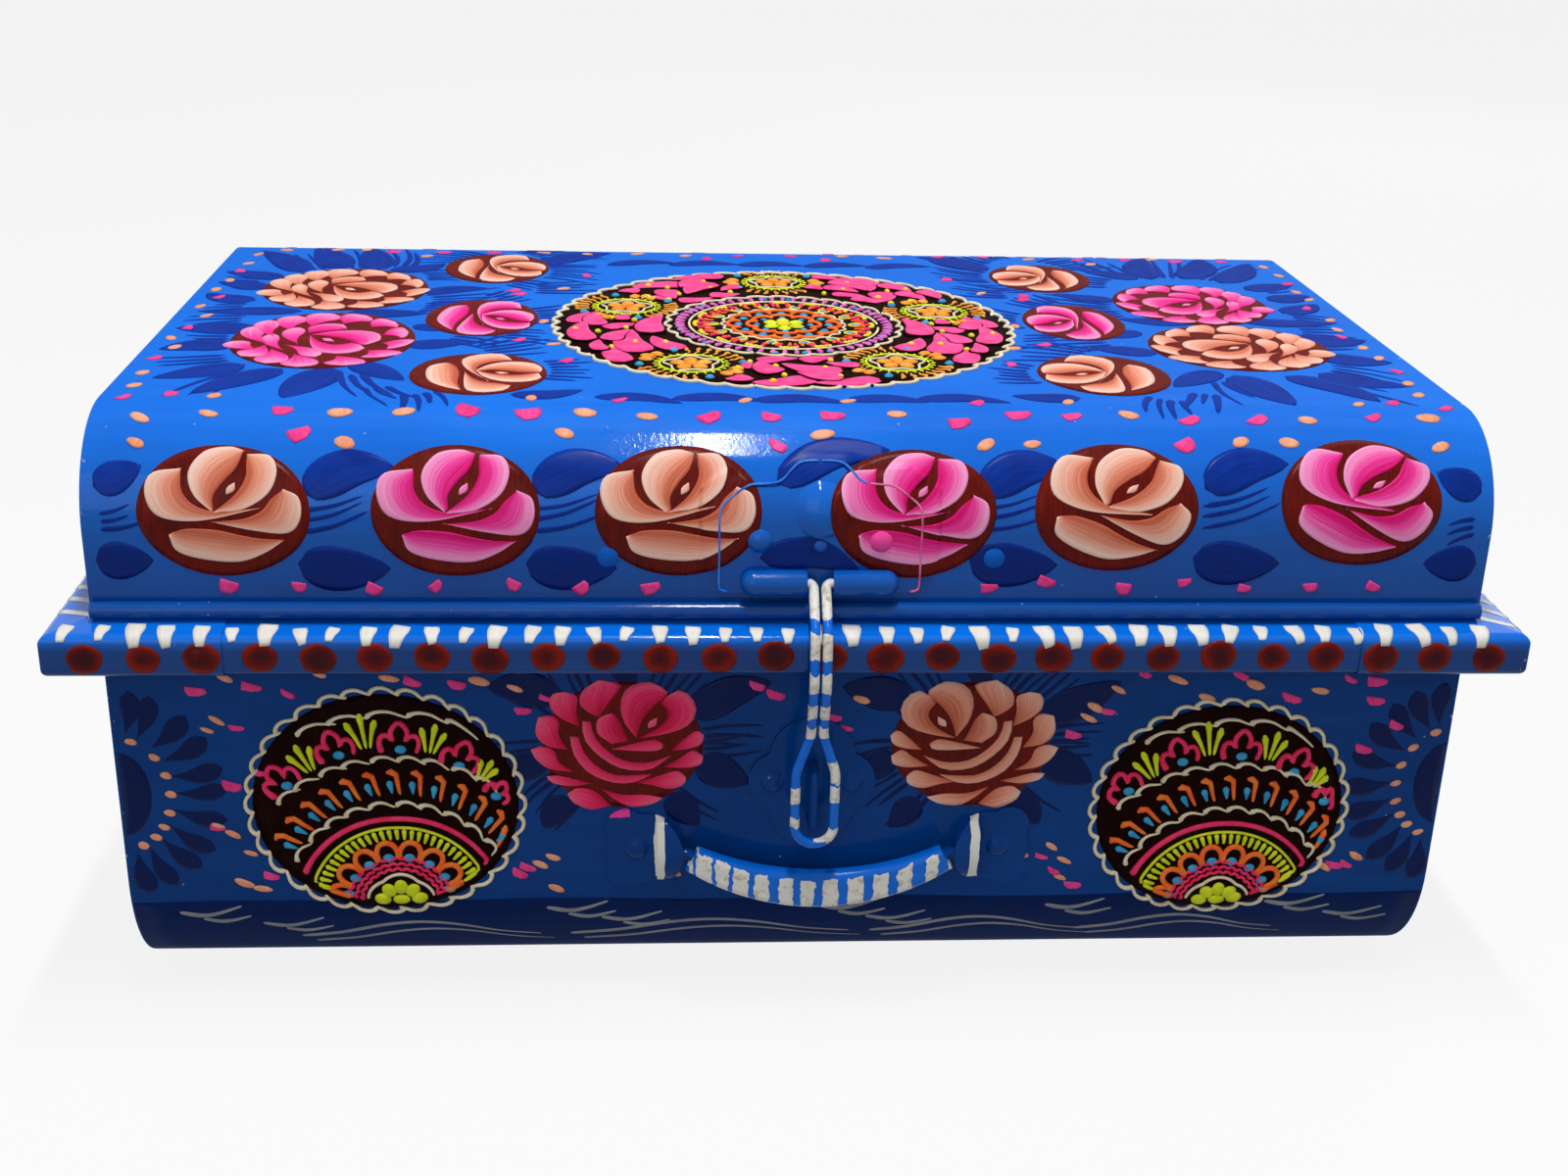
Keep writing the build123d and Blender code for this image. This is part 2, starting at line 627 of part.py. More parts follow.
def hinge_upper_rivets():
    face = -lid_front + lap_gap + hinge_sheet
    offsets = (-hinge_rivet_offset, hinge_rivet_offset)
    return [(s * hinge_x + d, face, hinge_upper_rivet_z) for s in (-1, 1) for d in offsets]


def hinge_lower_rivets():
    face = ledge_depth / 2 + lap_gap + hinge_sheet
    offsets = (-hinge_rivet_offset, hinge_rivet_offset)
    return [(s * hinge_x + d, face, hinge_lower_rivet_z) for s in (-1, 1) for d in offsets]


def make_hinges():
    barrel = Pos(hinge_y, hinge_z) * Circle(hinge_barrel / 2)
    bore = Pos(hinge_y, hinge_z) * Circle(hinge_pin / 2 + hinge_pin_clearance)

    leaf_low = hinge_lift - lap_gap - hinge_sheet / 2
    start = Vector(hinge_y, hinge_z, 0) - ledge_normal * leaf_low
    fold_y = ledge_depth / 2 + lap_gap + hinge_sheet / 2
    fold = start + ledge_slope * ((fold_y - start.X) / ledge_slope.X)
    fold_radius = ledge_bend + lap_gap + hinge_sheet / 2
    path = FilletPolyline(start, fold, (fold_y, hinge_leaf_bottom), radius=fold_radius)
    lower_section = barrel + trace(path, hinge_sheet)

    leaf_y = -lid_front + lap_gap + hinge_sheet / 2
    leaf_height = hinge_leaf_top - hinge_z
    upper_section = barrel + Pos(leaf_y, hinge_z + leaf_height / 2) * Rectangle(hinge_sheet, leaf_height)

    half = hinge_width / 2
    reach = hinge_barrel / 2 + knuckle_relief
    for name, side in (("left", -1), ("right", 1)):
        middle = side * hinge_x
        lower = along_x(lower_section, middle - half, middle + half)
        lower -= along_x(bore, middle - half - cut_over, middle + half + cut_over)
        gap = Box(hinge_middle_knuckle + 2 * seat_gap, 2 * reach, 2 * (reach + cut_over))
        lower -= Pos(middle, hinge_y, hinge_z) * gap
        lower -= rivet_holes(hinge_lower_rivets(), BACK)
        save(f"hinge_lower_{name}", lower)

        upper = along_x(upper_section, middle - half, middle + half)
        upper -= along_x(bore, middle - half - cut_over, middle + half + cut_over)
        outer_width = half - hinge_middle_knuckle / 2
        for end in (-1, 1):
            place = middle + end * (hinge_middle_knuckle / 2 + outer_width / 2 + cut_over)
            upper -= Pos(place, hinge_y, hinge_z) * Box(outer_width + 2 * cut_over, 2 * reach, 2 * reach)
        upper -= rivet_holes(hinge_upper_rivets(), BACK)
        save(f"hinge_upper_{name}", upper)

        pin = Cylinder(hinge_pin / 2, hinge_width + 2 * pin_overhang)
        head_place = hinge_width / 2 + pin_overhang + pin_head / 2
        for end in (-1, 1):
            pin += Pos(0, 0, end * head_place) * Cylinder(hinge_pin / 2 + pin_head, pin_head)
        save(f"hinge_pin_{name}", Pos(middle, hinge_y, hinge_z) * Rot(0, 90, 0) * pin)
    stack = hinge_sheet + lap_gap + sheet
    save("hinge_upper_rivets", *flat_rivets(hinge_upper_rivets(), BACK, stack))
    save("hinge_lower_rivets", *flat_rivets(hinge_lower_rivets(), BACK, stack))


make_box()
make_ledge()
make_lid()
make_hasp_plate()
make_hasp()
make_staple()
make_brackets()
make_handle()
make_hinges()
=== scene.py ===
import math
import random

import bmesh
import bpy
import numpy as np
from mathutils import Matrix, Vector


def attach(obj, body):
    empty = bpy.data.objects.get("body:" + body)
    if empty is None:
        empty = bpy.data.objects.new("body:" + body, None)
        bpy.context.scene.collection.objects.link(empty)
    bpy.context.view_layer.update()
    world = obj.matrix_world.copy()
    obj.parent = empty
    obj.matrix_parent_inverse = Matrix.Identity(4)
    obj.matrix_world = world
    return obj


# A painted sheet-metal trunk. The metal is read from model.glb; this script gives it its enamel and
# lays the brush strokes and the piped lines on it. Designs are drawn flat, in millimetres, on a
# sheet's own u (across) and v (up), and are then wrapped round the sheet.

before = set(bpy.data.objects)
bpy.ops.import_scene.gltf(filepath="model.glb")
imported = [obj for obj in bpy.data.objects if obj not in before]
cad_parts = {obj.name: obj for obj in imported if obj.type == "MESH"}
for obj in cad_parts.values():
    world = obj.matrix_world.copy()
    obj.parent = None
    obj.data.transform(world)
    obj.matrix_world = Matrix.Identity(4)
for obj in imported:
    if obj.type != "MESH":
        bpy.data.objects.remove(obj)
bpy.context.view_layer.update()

MM = 0.001
hand = random.Random(7)     # every wobble of the painter's hand comes from here

# ---- sizes of the trunk that the painting follows, in millimetres ----
trunk_half = 263.0
trunk_half_depth = 168.0
trunk_bend = 56.0
trunk_top = 153.0           # the ledge starts here
lid_half = 265.0
lid_half_depth = 170.0
lid_low = 171.3
lid_top = 244.0
lid_bend = 40.0
ledge_half = 280.0
ledge_half_depth = 185.0
ledge_low = 153.0
ledge_high = 170.6
ledge_edge = 168.6          # height of the ledge's top at its outer edge
ledge_bend = 3.0
cap_leg = 66.0
cap_sheet = 0.6
cap_rise = 0.65
lock_x = 6.7
plate_rise = 1.05
plate_half = 38.0
dome_v, dome_radius, dome_height = 42.6, 9.8, 3.5
handle_x = 10.2

# ---- layers of paint, as heights above the metal ----
sink = -0.06                # a stroke's skirt ends inside the metal
layer_leaf = 0.10
layer_disc = 0.22
layer_petal = 0.42
layer_top = 0.54
overlap_step, overlap_steps = 0.006, 9      # each stroke lies a little over the one before it
film = 0.07                 # how far a stroke's middle stands above its layer
rim_share = 0.45            # how much of that its rim has
leaf_columns = 9            # points across a leaf
leaf_blunt = 0.72           # a navy leaf is widest this side of its middle
hair_run = 50.0             # strokes start anywhere along this length of the hair pattern
steepest = 0.02             # change of the sheet's tilt under a stroke that keeps a flat underside
weld = 0.002                # points of a coat that are closer than this become one
soft_from = 0.4             # a spot at least this thick has no crease at its rim
brush_wide = 8.0            # a spot this wide shows the hair pattern once
curve_steps = 12            # steps between two given points of a curve, before they are evened out


# ---- node helpers ----
def join(tree, value, socket):
    """Links a socket to an input, or sets the input to a plain value."""
    if isinstance(value, bpy.types.NodeSocket):
        tree.links.new(value, socket)
    else:
        socket.default_value = value


def add_node(tree, kind, *values, **named):
    """Adds a node, and joins values to its inputs in their order or by their names."""
    node = tree.nodes.new(kind)
    for value, socket in zip(values, node.inputs):
        join(tree, value, socket)
    for name, value in named.items():
        join(tree, value, node.inputs[name])
    return node


def calc(tree, kind, a, b=0.0):
    """The result of a Math node of some kind."""
    node = add_node(tree, "ShaderNodeMath", a, b)
    node.operation = kind
    return node.outputs[0]


def mixed(tree, share, a, b):
    """A colour that goes from a to b as share goes from 0 to 1."""
    node = tree.nodes.new("ShaderNodeMix")
    node.data_type = "RGBA"
    for value, index in ((share, 0), (a, 6), (b, 7)):
        join(tree, value, node.inputs[index])
    return node.outputs[2]


class Finish:
    """A material being built: short calls that add one node each and return its output."""

    def __init__(self, name):
        self.material = bpy.data.materials.new(name)
        self.material.use_nodes = True
        self.tree = self.material.node_tree
        self.place = self.node("TexCoord").outputs["Object"]

    def node(self, kind, *values, **named):
        return add_node(self.tree, f"ShaderNode{kind}", *values, **named)

    def done(self, **values):
        """Joins values to the shader's inputs and returns the material."""
        shader = self.tree.nodes["Principled BSDF"]
        for name, value in values.items():
            join(self.tree, value, shader.inputs[name.replace("_", " ")])
        return self.material

    def axis(self, index):
        return self.node("SeparateXYZ", self.place).outputs[index]

    def stretched(self, scale, vector=None):
        """The coordinates, scaled by three factors."""
        return self.node("Mapping", Scale=scale, Vector=vector or self.place).outputs[0]

    def noise(self, scale, detail=3.0, rough=0.55, vector=None):
        node = self.node("TexNoise", Scale=scale, Detail=detail, Roughness=rough, Vector=vector or self.place)
        return node.outputs["Fac"]

    def specks(self, scale, size, share):
        """1 on small round specks: scale sets their spacing, and share how many cells hold one."""
        node = self.node("TexVoronoi", Scale=scale, Vector=self.place)
        chosen = self.below(self.gray(node.outputs["Color"]), share)
        return self.times(self.below(node.outputs["Distance"], size), chosen)

    def gray(self, colour):
        return self.node("SeparateColor", colour).outputs[0]

    def math(self, kind, a, b=0.0):
        return calc(self.tree, kind, a, b)

    def plus(self, a, b):
        return self.math("ADD", a, b)

    def less(self, a, b):
        return self.math("SUBTRACT", a, b)

    def times(self, a, b):
        return self.math("MULTIPLY", a, b)

    def size(self, a):
        return self.math("ABSOLUTE", a)

    def above(self, a, b):
        """1 where a is more than b."""
        return self.math("GREATER_THAN", a, b)

    def below(self, a, b):
        """1 where a is less than b."""
        return self.math("LESS_THAN", a, b)

    def between(self, value, low, high):
        """1 where a value is between two heights or places in millimetres."""
        return self.times(self.above(value, low * MM), self.below(value, high * MM))

    def past(self, a, b):
        """How far a is past b, or 0."""
        return self.math("MAXIMUM", self.less(a, b), 0.0)

    def span(self, value, low, high, start=0.0, end=1.0):
        """Maps low..high to start..end, and holds the ends."""
        return self.node("MapRange", value, low, high, start, end).outputs[0]

    def mix(self, share, a, b):
        return mixed(self.tree, share, a, b)

    def ramp(self, value, stops, kind="LINEAR"):
        node = self.node("ValToRGB", value)
        node.color_ramp.interpolation = kind
        elements = node.color_ramp.elements
        while len(elements) < len(stops):
            elements.new(0.5)
        for element, (place, colour) in zip(elements, stops):
            element.position = place
            element.color = colour
        return node.outputs[0]

    def dulled(self, rough, dull=0.78):
        """Roughness with the fine dust on the lid's flat top and round the trunk's foot."""
        height = self.axis(2)
        low = self.span(height, 18.0 * MM, 60.0 * MM, 0.7, rough)
        return self.span(height, 238.0 * MM, 243.8 * MM, low, dull)

    def attribute(self, name):
        node = self.node("Attribute")
        node.attribute_name = name
        return node.outputs["Fac"]

    def stroke_map(self):
        node = self.node("UVMap")
        node.uv_map = "Stroke"
        return node.outputs[0]

    def bump(self, height, depth, strength=1.0, under=None):
        """Bump of a height from 0 to 1 over a depth in millimetres."""
        node = self.node("Bump", Strength=strength, Distance=depth * MM, Height=height)
        if under is not None:
            join(self.tree, under, node.inputs["Normal"])
        return node.outputs["Normal"]


# ---- finishes ----
def srgb(red, green, blue):
    """A colour from its 0 to 255 values, as the linear RGBA that nodes take."""
    parts = [c / 255 for c in (red, green, blue)]
    return (*[p / 12.92 if p <= 0.04045 else ((p + 0.055) / 1.055) ** 2.4 for p in parts], 1.0)


BLUE = srgb(6, 120, 236)
BLUE_DEEP = srgb(4, 100, 214)
# The darker blue of the trunk and of the lower faces is painted shade, not a paint of its own.
PAINTED_SHADE_BLUE = srgb(5, 52, 118)
OXIDE = srgb(82, 12, 12)
WHITE = srgb(240, 238, 230)
PRIMER = srgb(196, 204, 210)
PINK = (srgb(226, 20, 118), srgb(252, 72, 168), srgb(255, 170, 218))
ROSE = (srgb(206, 14, 62), srgb(250, 54, 110), srgb(255, 120, 150))
PEACH = (srgb(204, 100, 72), srgb(242, 158, 130), srgb(255, 216, 198))
enamel_gloss = 0.16         # how strongly the enamel of lid and ledge and the piped lines reflect
paint_gloss = 0.08          # the same of brushed paint
trunk_gloss = 0.06          # and of the trunk's enamel
# The enamel is darkened with painted shade below its fade heights; these heights put the whole piece in it.
painted_shade_all_over = (400.0, 500.0)      # heights above the lid, so that nothing turns lighter
half_sheet = 0.4            # half the thickness of the metal


def inside_mask(work, half_depth, bend, bend_low, bend_high):
    """1 on the inner face of a bent sheet: its distance to the bend's axis is short by the sheet."""
    across = work.past(work.size(work.axis(1)), (half_depth - bend) * MM)
    climb = work.plus(work.past(work.axis(2), bend_high * MM), work.past(bend_low * MM, work.axis(2)))
    distance = work.math("SQRT", work.plus(work.times(across, across), work.times(climb, climb)))
    return work.below(distance, (bend - half_sheet) * MM)


def enamel(name, fade=painted_shade_all_over, inside=None, worn=(), marks=(), gloss=trunk_gloss):
    """Blue gloss enamel, brushed by hand: slow changes of tone, dust, orange peel and dents.

    fade holds the heights below which the blue is darkened to a deeper one, as painted shade,
    inside masks the bare galvanised face, worn masks edges where the paint has chipped, and marks
    are masks with the paints that cover them."""
    work = Finish(name)
    tone = work.noise(7.0, 4.0)
    brush = work.noise(90.0, 3.0, vector=work.stretched((0.25, 2.2, 2.2)))
    blend = work.plus(work.times(tone, 0.75), work.times(brush, 0.35))
    colour = work.mix(work.span(blend, 0.35, 0.75), BLUE_DEEP, BLUE)
    # Below the fade heights the blue turns to the darker one: painted shade on the trunk and the lower faces.
    light = work.span(work.axis(2), fade[0] * MM, fade[1] * MM)
    colour = work.mix(light, work.mix(work.span(blend, 0.3, 0.8, 0.0, 0.22), PAINTED_SHADE_BLUE, BLUE), colour)
    dust = work.specks(190.0, 0.075, 0.10)
    colour = work.mix(work.times(dust, 0.55), colour, PRIMER)
    grit = work.span(work.noise(620.0, 2.0), 0.35, 0.65)
    rough = work.plus(work.span(work.noise(28.0), 0.3, 0.7, 0.06, 0.11), work.times(dust, 0.3))
    for mask in worn:
        chipped = work.times(mask(work), work.above(work.noise(240.0, 5.0, 0.7), 0.66))
        colour = work.mix(chipped, colour, PRIMER)
        rough = work.plus(rough, work.times(chipped, 0.35))
    normal = work.bump(work.noise(14.0, 2.0), 1.2, 0.3)
    normal = work.bump(grit, 0.012, 0.9, normal)
    normal = work.bump(brush, 0.04, 0.3, normal)
    metallic = 0.0
    for mask, paint in marks:
        colour = work.mix(mask(work), colour, paint)
    if inside:
        hidden = inside(work)
        spangle = work.noise(60.0, 5.0, 0.7)
        zinc = work.ramp(spangle, [(0.3, srgb(128, 134, 140)), (0.55, srgb(160, 166, 170)),
                                   (0.75, srgb(184, 188, 190))])
        colour = work.mix(hidden, colour, zinc)
        metallic = work.times(hidden, 0.8)
        rough = work.plus(rough, work.times(hidden, 0.28))
    return work.done(Base_Color=colour, Roughness=work.dulled(rough), Normal=normal, Metallic=metallic,
                     Specular_IOR_Level=gloss)


def brushed_paint(name, dark, light, rough=0.32, gloss=paint_gloss, low=None):
    """One pigment, laid with a brush: hairs leave lighter and darker streaks along the stroke. low is
    the darker tone it turns to below the lid's top, on the lid's front and the trunk: painted shade."""
    work = Finish(name)
    hairs = work.noise(1.0, 3.0, vector=work.stretched((16.0, 1.2, 1.0), work.stroke_map()))
    pool = work.noise(70.0)
    share = work.plus(work.times(hairs, 0.65), work.times(pool, 0.45))
    colour = work.mix(work.span(share, 0.35, 0.75), srgb(*dark), srgb(*light))
    # Lower down the pigment darkens to low: painted shade.
    if low:
        colour = work.mix(work.span(work.axis(2), 150.0 * MM, 236.0 * MM), srgb(*low), colour)
    rough = work.dulled(work.span(pool, 0.3, 0.7, rough - 0.08, rough + 0.10))
    return work.done(Base_Color=colour, Roughness=rough, Normal=work.bump(hairs, 0.10, 0.5),
                     Specular_IOR_Level=gloss)


def loaded_paint(name, colours):
    """A brush loaded with two paints: each stroke runs from deep to pale across its width."""
    work = Finish(name)
    hairs = work.noise(1.0, 4.0, 0.6, vector=work.stretched((20.0, 1.0, 1.0), work.stroke_map()))
    load = work.plus(work.attribute("load"), work.span(hairs, 0.2, 0.8, -0.26, 0.26))
    colour = work.ramp(load, list(zip((0.10, 0.48, 0.95), colours)))
    rough = work.dulled(work.span(work.noise(70.0), 0.3, 0.7, 0.24, 0.42))
    return work.done(Base_Color=colour, Roughness=rough, Normal=work.bump(hairs, 0.12, 0.5),
                     Specular_IOR_Level=paint_gloss)


def rimmed_paint(name):
    """Thin red paint that has run to its rim, so the blue shows in the middle."""
    work = Finish(name)
    pool = work.plus(work.attribute("load"), work.span(work.noise(60.0), 0.2, 0.8, -0.5, 0.5))
    colour = work.ramp(pool, [(0.20, srgb(60, 12, 24)), (0.62, srgb(98, 14, 12)), (0.95, srgb(132, 26, 14))])
    return work.done(Base_Color=colour, Roughness=0.26, Normal=work.bump(pool, 0.12, 0.4),
                     Specular_IOR_Level=paint_gloss)


def piped_paint(name, dark, light):
    """Thick paint squeezed from a cone: glossy, a little uneven in tone and surface."""
    work = Finish(name)
    tone = work.noise(160.0)
    colour = work.mix(work.span(tone, 0.3, 0.7), srgb(*dark), srgb(*light))
    rough = work.dulled(work.span(tone, 0.3, 0.7, 0.24, 0.36), 0.6)
    return work.done(Base_Color=colour, Roughness=rough, Normal=work.bump(work.noise(420.0, 2.0), 0.08, 0.4),
                     Specular_IOR_Level=enamel_gloss)


def bare_steel(name):
    work = Finish(name)
    grain = work.noise(500.0, 4.0, vector=work.stretched((0.2, 1.0, 1.0)))
    colour = work.ramp(work.noise(40.0, 4.0), [(0.35, srgb(120, 116, 110)), (0.6, srgb(168, 168, 166))])
    return work.done(Base_Color=colour, Metallic=0.9, Roughness=work.span(grain, 0.3, 0.7, 0.25, 0.45),
                     Normal=work.bump(grain, 0.02, 0.4))


def banded(work, share, scales, old_white, first_white, smooth):
    """Blue enamel with worn white bands where share is 1. scales are of the enamel's tone, the
    white's wear and its surface."""
    blue = work.mix(work.noise(scales[0]), BLUE_DEEP, BLUE)
    white = work.ramp(work.noise(scales[1], 4.0), [(first_white, old_white), (first_white + 0.2, WHITE)])
    return work.done(Base_Color=work.mix(share, blue, white),
                     Normal=work.bump(work.times(share, work.noise(scales[2])), 0.25, 0.6),
                     Roughness=work.span(share, 0.0, 1.0, smooth, 0.36), Specular_IOR_Level=enamel_gloss)


# White bands on the hasp: lowest and highest z, and a side. A side of 0 is both strands, and -1 or 1
# only the strand left or right of the lock line.
HASP_BANDS = [(176.5, 188.0, 0), (162.6, 172.6, 0), (148.9, 157.2, 0), (136.7, 143.2, 0), (127.4, 132.8, 0),
              (107.8, 117.4, 1), (99.4, 106.4, 1), (82.4, 88.6, 1), (99.0, 105.8, -1), (88.9, 93.2, -1)]


def striped_wire(name):
    """Blue enamel wire with white bands round it."""
    work = Finish(name)
    wobble = work.span(work.noise(330.0, 2.0), 0.3, 0.7, -0.9 * MM, 0.9 * MM)
    height = work.plus(work.axis(2), wobble)
    across = work.less(work.axis(0), lock_x * MM)
    share = 0.0
    for low, high, side in HASP_BANDS:
        inside = work.between(height, low, high)
        if side:
            strand = work.above if side > 0 else work.below
            inside = work.times(inside, strand(across, 0.0))
        share = work.math("MAXIMUM", share, inside)
    return banded(work, share, (120.0, 420.0, 300.0), srgb(188, 176, 146), 0.30, 0.18)


# White bands across the grip: the middle and the width of each, along x.
GRIP_BANDS = [(-41.4, 1.8), (-35.8, 6.2), (-29.0, 5.4), (-21.4, 5.8), (-13.3, 5.8), (-3.4, 6.0), (5.2, 5.8),
              (14.4, 5.8), (24.5, 5.8), (34.4, 5.8), (43.9, 5.6), (54.6, 4.6), (62.1, 1.8)]
grip_sag = 0.0051           # the bands' upper end climbs by this times the square of the way out


def striped_grip(name):
    """Blue enamel with white bands across the lower half of the grip."""
    work = Finish(name)
    low, high = -50.0, 70.0
    x, z = [work.math("DIVIDE", work.axis(i), MM) for i in (0, 2)]
    shaken = work.plus(x, work.span(work.noise(210.0), 0.3, 0.7, -0.8, 0.8))
    stops = [(0.0, (0, 0, 0, 1))]
    for middle, width in GRIP_BANDS:
        stops.append(((middle - width / 2 - low) / (high - low), (1, 1, 1, 1)))
        stops.append(((middle + width / 2 - low) / (high - low), (0, 0, 0, 1)))
    bands = work.gray(work.ramp(work.span(shaken, low, high), stops, "CONSTANT"))
    off = work.less(x, handle_x)
    sag = work.times(work.times(off, off), grip_sag)
    limit = work.plus(sag, work.span(work.noise(160.0), 0.3, 0.7, 60.4, 62.6))
    share = work.times(bands, work.below(z, limit))
    return banded(work, share, (90.0, 330.0, 260.0), srgb(196, 186, 158), 0.28, 0.2)


FINISH = {
    # The navy's low tone is painted shade, darker lower down the lid and on the trunk.
    "navy": brushed_paint("navy_leaf_paint", (5, 38, 132), (10, 62, 172), 0.28, low=(4, 26, 84)),
    # The dark band paint stands for the shade on the bend at the trunk's foot: painted shade.
    "painted_shade_band": brushed_paint("painted_shade_band_paint", (3, 26, 76), (6, 38, 98), 0.26, 0.04),
    "maroon": brushed_paint("maroon_paint", (70, 8, 6), (124, 24, 12), 0.28),
    "oxide": rimmed_paint("red_oxide_paint"),
    "pink": loaded_paint("pink_rose_paint", PINK),
    "rose": loaded_paint("red_pink_rose_paint", ROSE),
    "peach": loaded_paint("peach_rose_paint", PEACH),
    "white": brushed_paint("white_dab_paint", (222, 220, 208), (252, 250, 242), 0.34),
    "pink_dab": brushed_paint("pink_dab_paint", (236, 36, 116), (255, 92, 174), 0.3),
    "peach_dab": brushed_paint("peach_dab_paint", (232, 138, 100), (255, 190, 152), 0.3),
    "grey": brushed_paint("grey_wave_paint", (112, 118, 128), (176, 178, 180), 0.36),
    "black": brushed_paint("black_ground_paint", (10, 3, 2), (34, 12, 8), 0.4, 0.015),
    "cream": piped_paint("cream_cone_paint", (224, 208, 166), (250, 240, 212)),
    "crimson": piped_paint("crimson_cone_paint", (240, 22, 84), (255, 62, 118)),
    "lime": piped_paint("lime_cone_paint", (206, 220, 14), (238, 248, 50)),
    "yellow": piped_paint("yellow_cone_paint", (250, 214, 10), (255, 240, 64)),
    "orange": piped_paint("orange_cone_paint", (255, 88, 18), (255, 138, 52)),
    "amber": piped_paint("amber_cone_paint", (246, 138, 28), (255, 188, 78)),
    "sky": piped_paint("sky_cone_paint", (24, 140, 204), (72, 184, 234)),
    "magenta": piped_paint("magenta_cone_paint", (246, 40, 128), (255, 86, 164)),
    # Lighter lines along the hasp plate's outline: painted highlight where its edge catches light, on a real
    # bead of paint.
    "edge_blue": piped_paint("blue_plate_highlight_paint", (12, 104, 222), (64, 152, 246)),
    "edge_pink": piped_paint("pink_plate_highlight_paint", (206, 66, 128), (240, 140, 186)),
    "violet": piped_paint("violet_cone_paint", (222, 74, 186), (244, 140, 216)),
}


# ---- sheets: from flat u, v and height to the real surface ----
def distances(line):
    """How far along a line of points each of them lies."""
    return np.concatenate([[0.0], np.cumsum(np.linalg.norm(np.diff(line, axis=0), axis=1))])


class Sheet:
    """A sheet bent along lines that run across it. Its profile is a list of (out, up) points.

    heading turns it about the trunk's middle, from the front, and rise is the height of what lies
    on it."""

    def __init__(self, heading, profile, rise=None):
        self.turn = math.radians(heading)
        self.profile = np.array(profile, float)
        self.along = distances(self.profile)
        slope = np.gradient(self.profile, self.along, axis=0)
        slope /= np.linalg.norm(slope, axis=1)[:, None]
        self.normal = np.stack([slope[:, 1], -slope[:, 0]], axis=1)
        self.rise = rise

    def v_at(self, z):
        """v on the rising part of the profile for a height."""
        return float(np.interp(z, self.profile[:, 1], self.along))

    def lift(self, points):
        """Rows of u, v and height to rows of x, y and z, in metres."""
        u, v, height = np.array(points, float).T
        if self.rise is not None:
            height = height + np.where(height > 0, self.rise(u, v, height), 0.0)
        out, up = [np.interp(v, self.along, self.profile[:, i]) for i in (0, 1)]
        n_out, n_up = [np.interp(v, self.along, self.normal[:, i]) for i in (0, 1)]
        length = np.hypot(n_out, n_up)
        out, up = out + height * n_out / length, up + height * n_up / length
        cos, sin = math.cos(self.turn), math.sin(self.turn)
        return np.stack([u * cos + out * sin, u * sin - out * cos, up], axis=1) * MM


def bend(out, up, radius, start, end, steps=24):
    """Points on an arc of a profile, by angle from level outward, in degrees."""
    angles = [math.radians(start + (end - start) * i / steps) for i in range(steps + 1)]
    return [(out + radius * math.cos(a), up + radius * math.sin(a)) for a in angles]


# Paint drapes past the plate's edges, and the upper coats reach further than the lower ones.
COAT_HEIGHTS, COAT_DRAPES = [0.30, 0.37], [3.2, 7.0]


def plate_lift(u, v, height):
    """Height of the hasp plate and of its dome above the lid's sheet."""
    across, drape = np.abs(u - lock_x), np.interp(height, COAT_HEIGHTS, COAT_DRAPES)
    v_low, v_side, v_shoulder, v_peak = 9.7, 43.8, 52.0, 60.8
    outline = [v_peak, v_peak, v_shoulder, v_shoulder, v_side]
    top = np.interp(across - drape, [0, 8, 16, 27, plate_half], outline)
    on_plate = (across < plate_half + drape) & (v > v_low) & (v < top + drape)
    off_dome = np.hypot(u - lock_x, v - dome_v) / (dome_radius + 0.5 * drape)
    dome = (dome_height + 0.2) * np.clip(1 - off_dome ** 2, 0, 1)
    return np.where(on_plate, plate_rise + dome, 0.0)


def cap_lift(half):
    """Rise of the corner caps at both ends of a ledge of that half length."""
    inner = half - cap_leg + cap_sheet
    return lambda u, v, height: np.where(np.abs(u) > inner, cap_rise, 0.0)


lid_bend_out = lid_half_depth - lid_bend
lid_bend_up = lid_top - lid_bend
LID_PROFILE = [(lid_half_depth, lid_low), *bend(lid_bend_out, lid_bend_up, lid_bend, 0, 90),
               *bend(-lid_bend_out, lid_bend_up, lid_bend, 90, 180), (-lid_half_depth, lid_low)]
lid_wrap = Sheet(0, LID_PROFILE, plate_lift)
lid_back = Sheet(180, LID_PROFILE)

trunk_bend_out = trunk_half_depth - trunk_bend
TRUNK_PROFILE = [*bend(trunk_bend_out, trunk_bend, trunk_bend, -90, 0), (trunk_half_depth, trunk_top)]
trunk_bend_v = math.pi / 2 * trunk_bend
trunk_front = Sheet(0, TRUNK_PROFILE)
trunk_back = Sheet(180, TRUNK_PROFILE)


def wall(heading, out, low, high):
    return Sheet(heading, [(out, low), (out, high)])


trunk_ends = [wall(270, trunk_half, 0, trunk_top), wall(90, trunk_half, 0, trunk_top)]
lid_ends = [wall(270, lid_half, lid_low, lid_top), wall(90, lid_half, lid_low, lid_top)]


def ledge_profile(half, inner):
    """The ledge's outer face between its two bends, then its top, which climbs to the box."""
    tilt = math.degrees(math.atan2(ledge_high - ledge_edge, half - inner))
    out = half - ledge_bend
    low = bend(out, ledge_low + ledge_bend, ledge_bend, -60, 0, 8)
    up = ledge_edge - ledge_bend * math.tan(math.radians((90 - tilt) / 2))
    return [*low, *bend(out, up, ledge_bend, 0, 90 - tilt), (inner, ledge_high)]


LONG_LEDGE = (ledge_profile(ledge_half_depth, trunk_half_depth), cap_lift(ledge_half))
SHORT_LEDGE = (ledge_profile(ledge_half, trunk_half), cap_lift(ledge_half_depth))
ledge_ways = {
    "front": Sheet(0, *LONG_LEDGE),
    "right": Sheet(90, *SHORT_LEDGE),
    "back": Sheet(180, *LONG_LEDGE),
    "left": Sheet(270, *SHORT_LEDGE),
}


def body_v(z):
    """v on the trunk's front for a height on its upright part."""
    return trunk_bend_v + z - trunk_bend


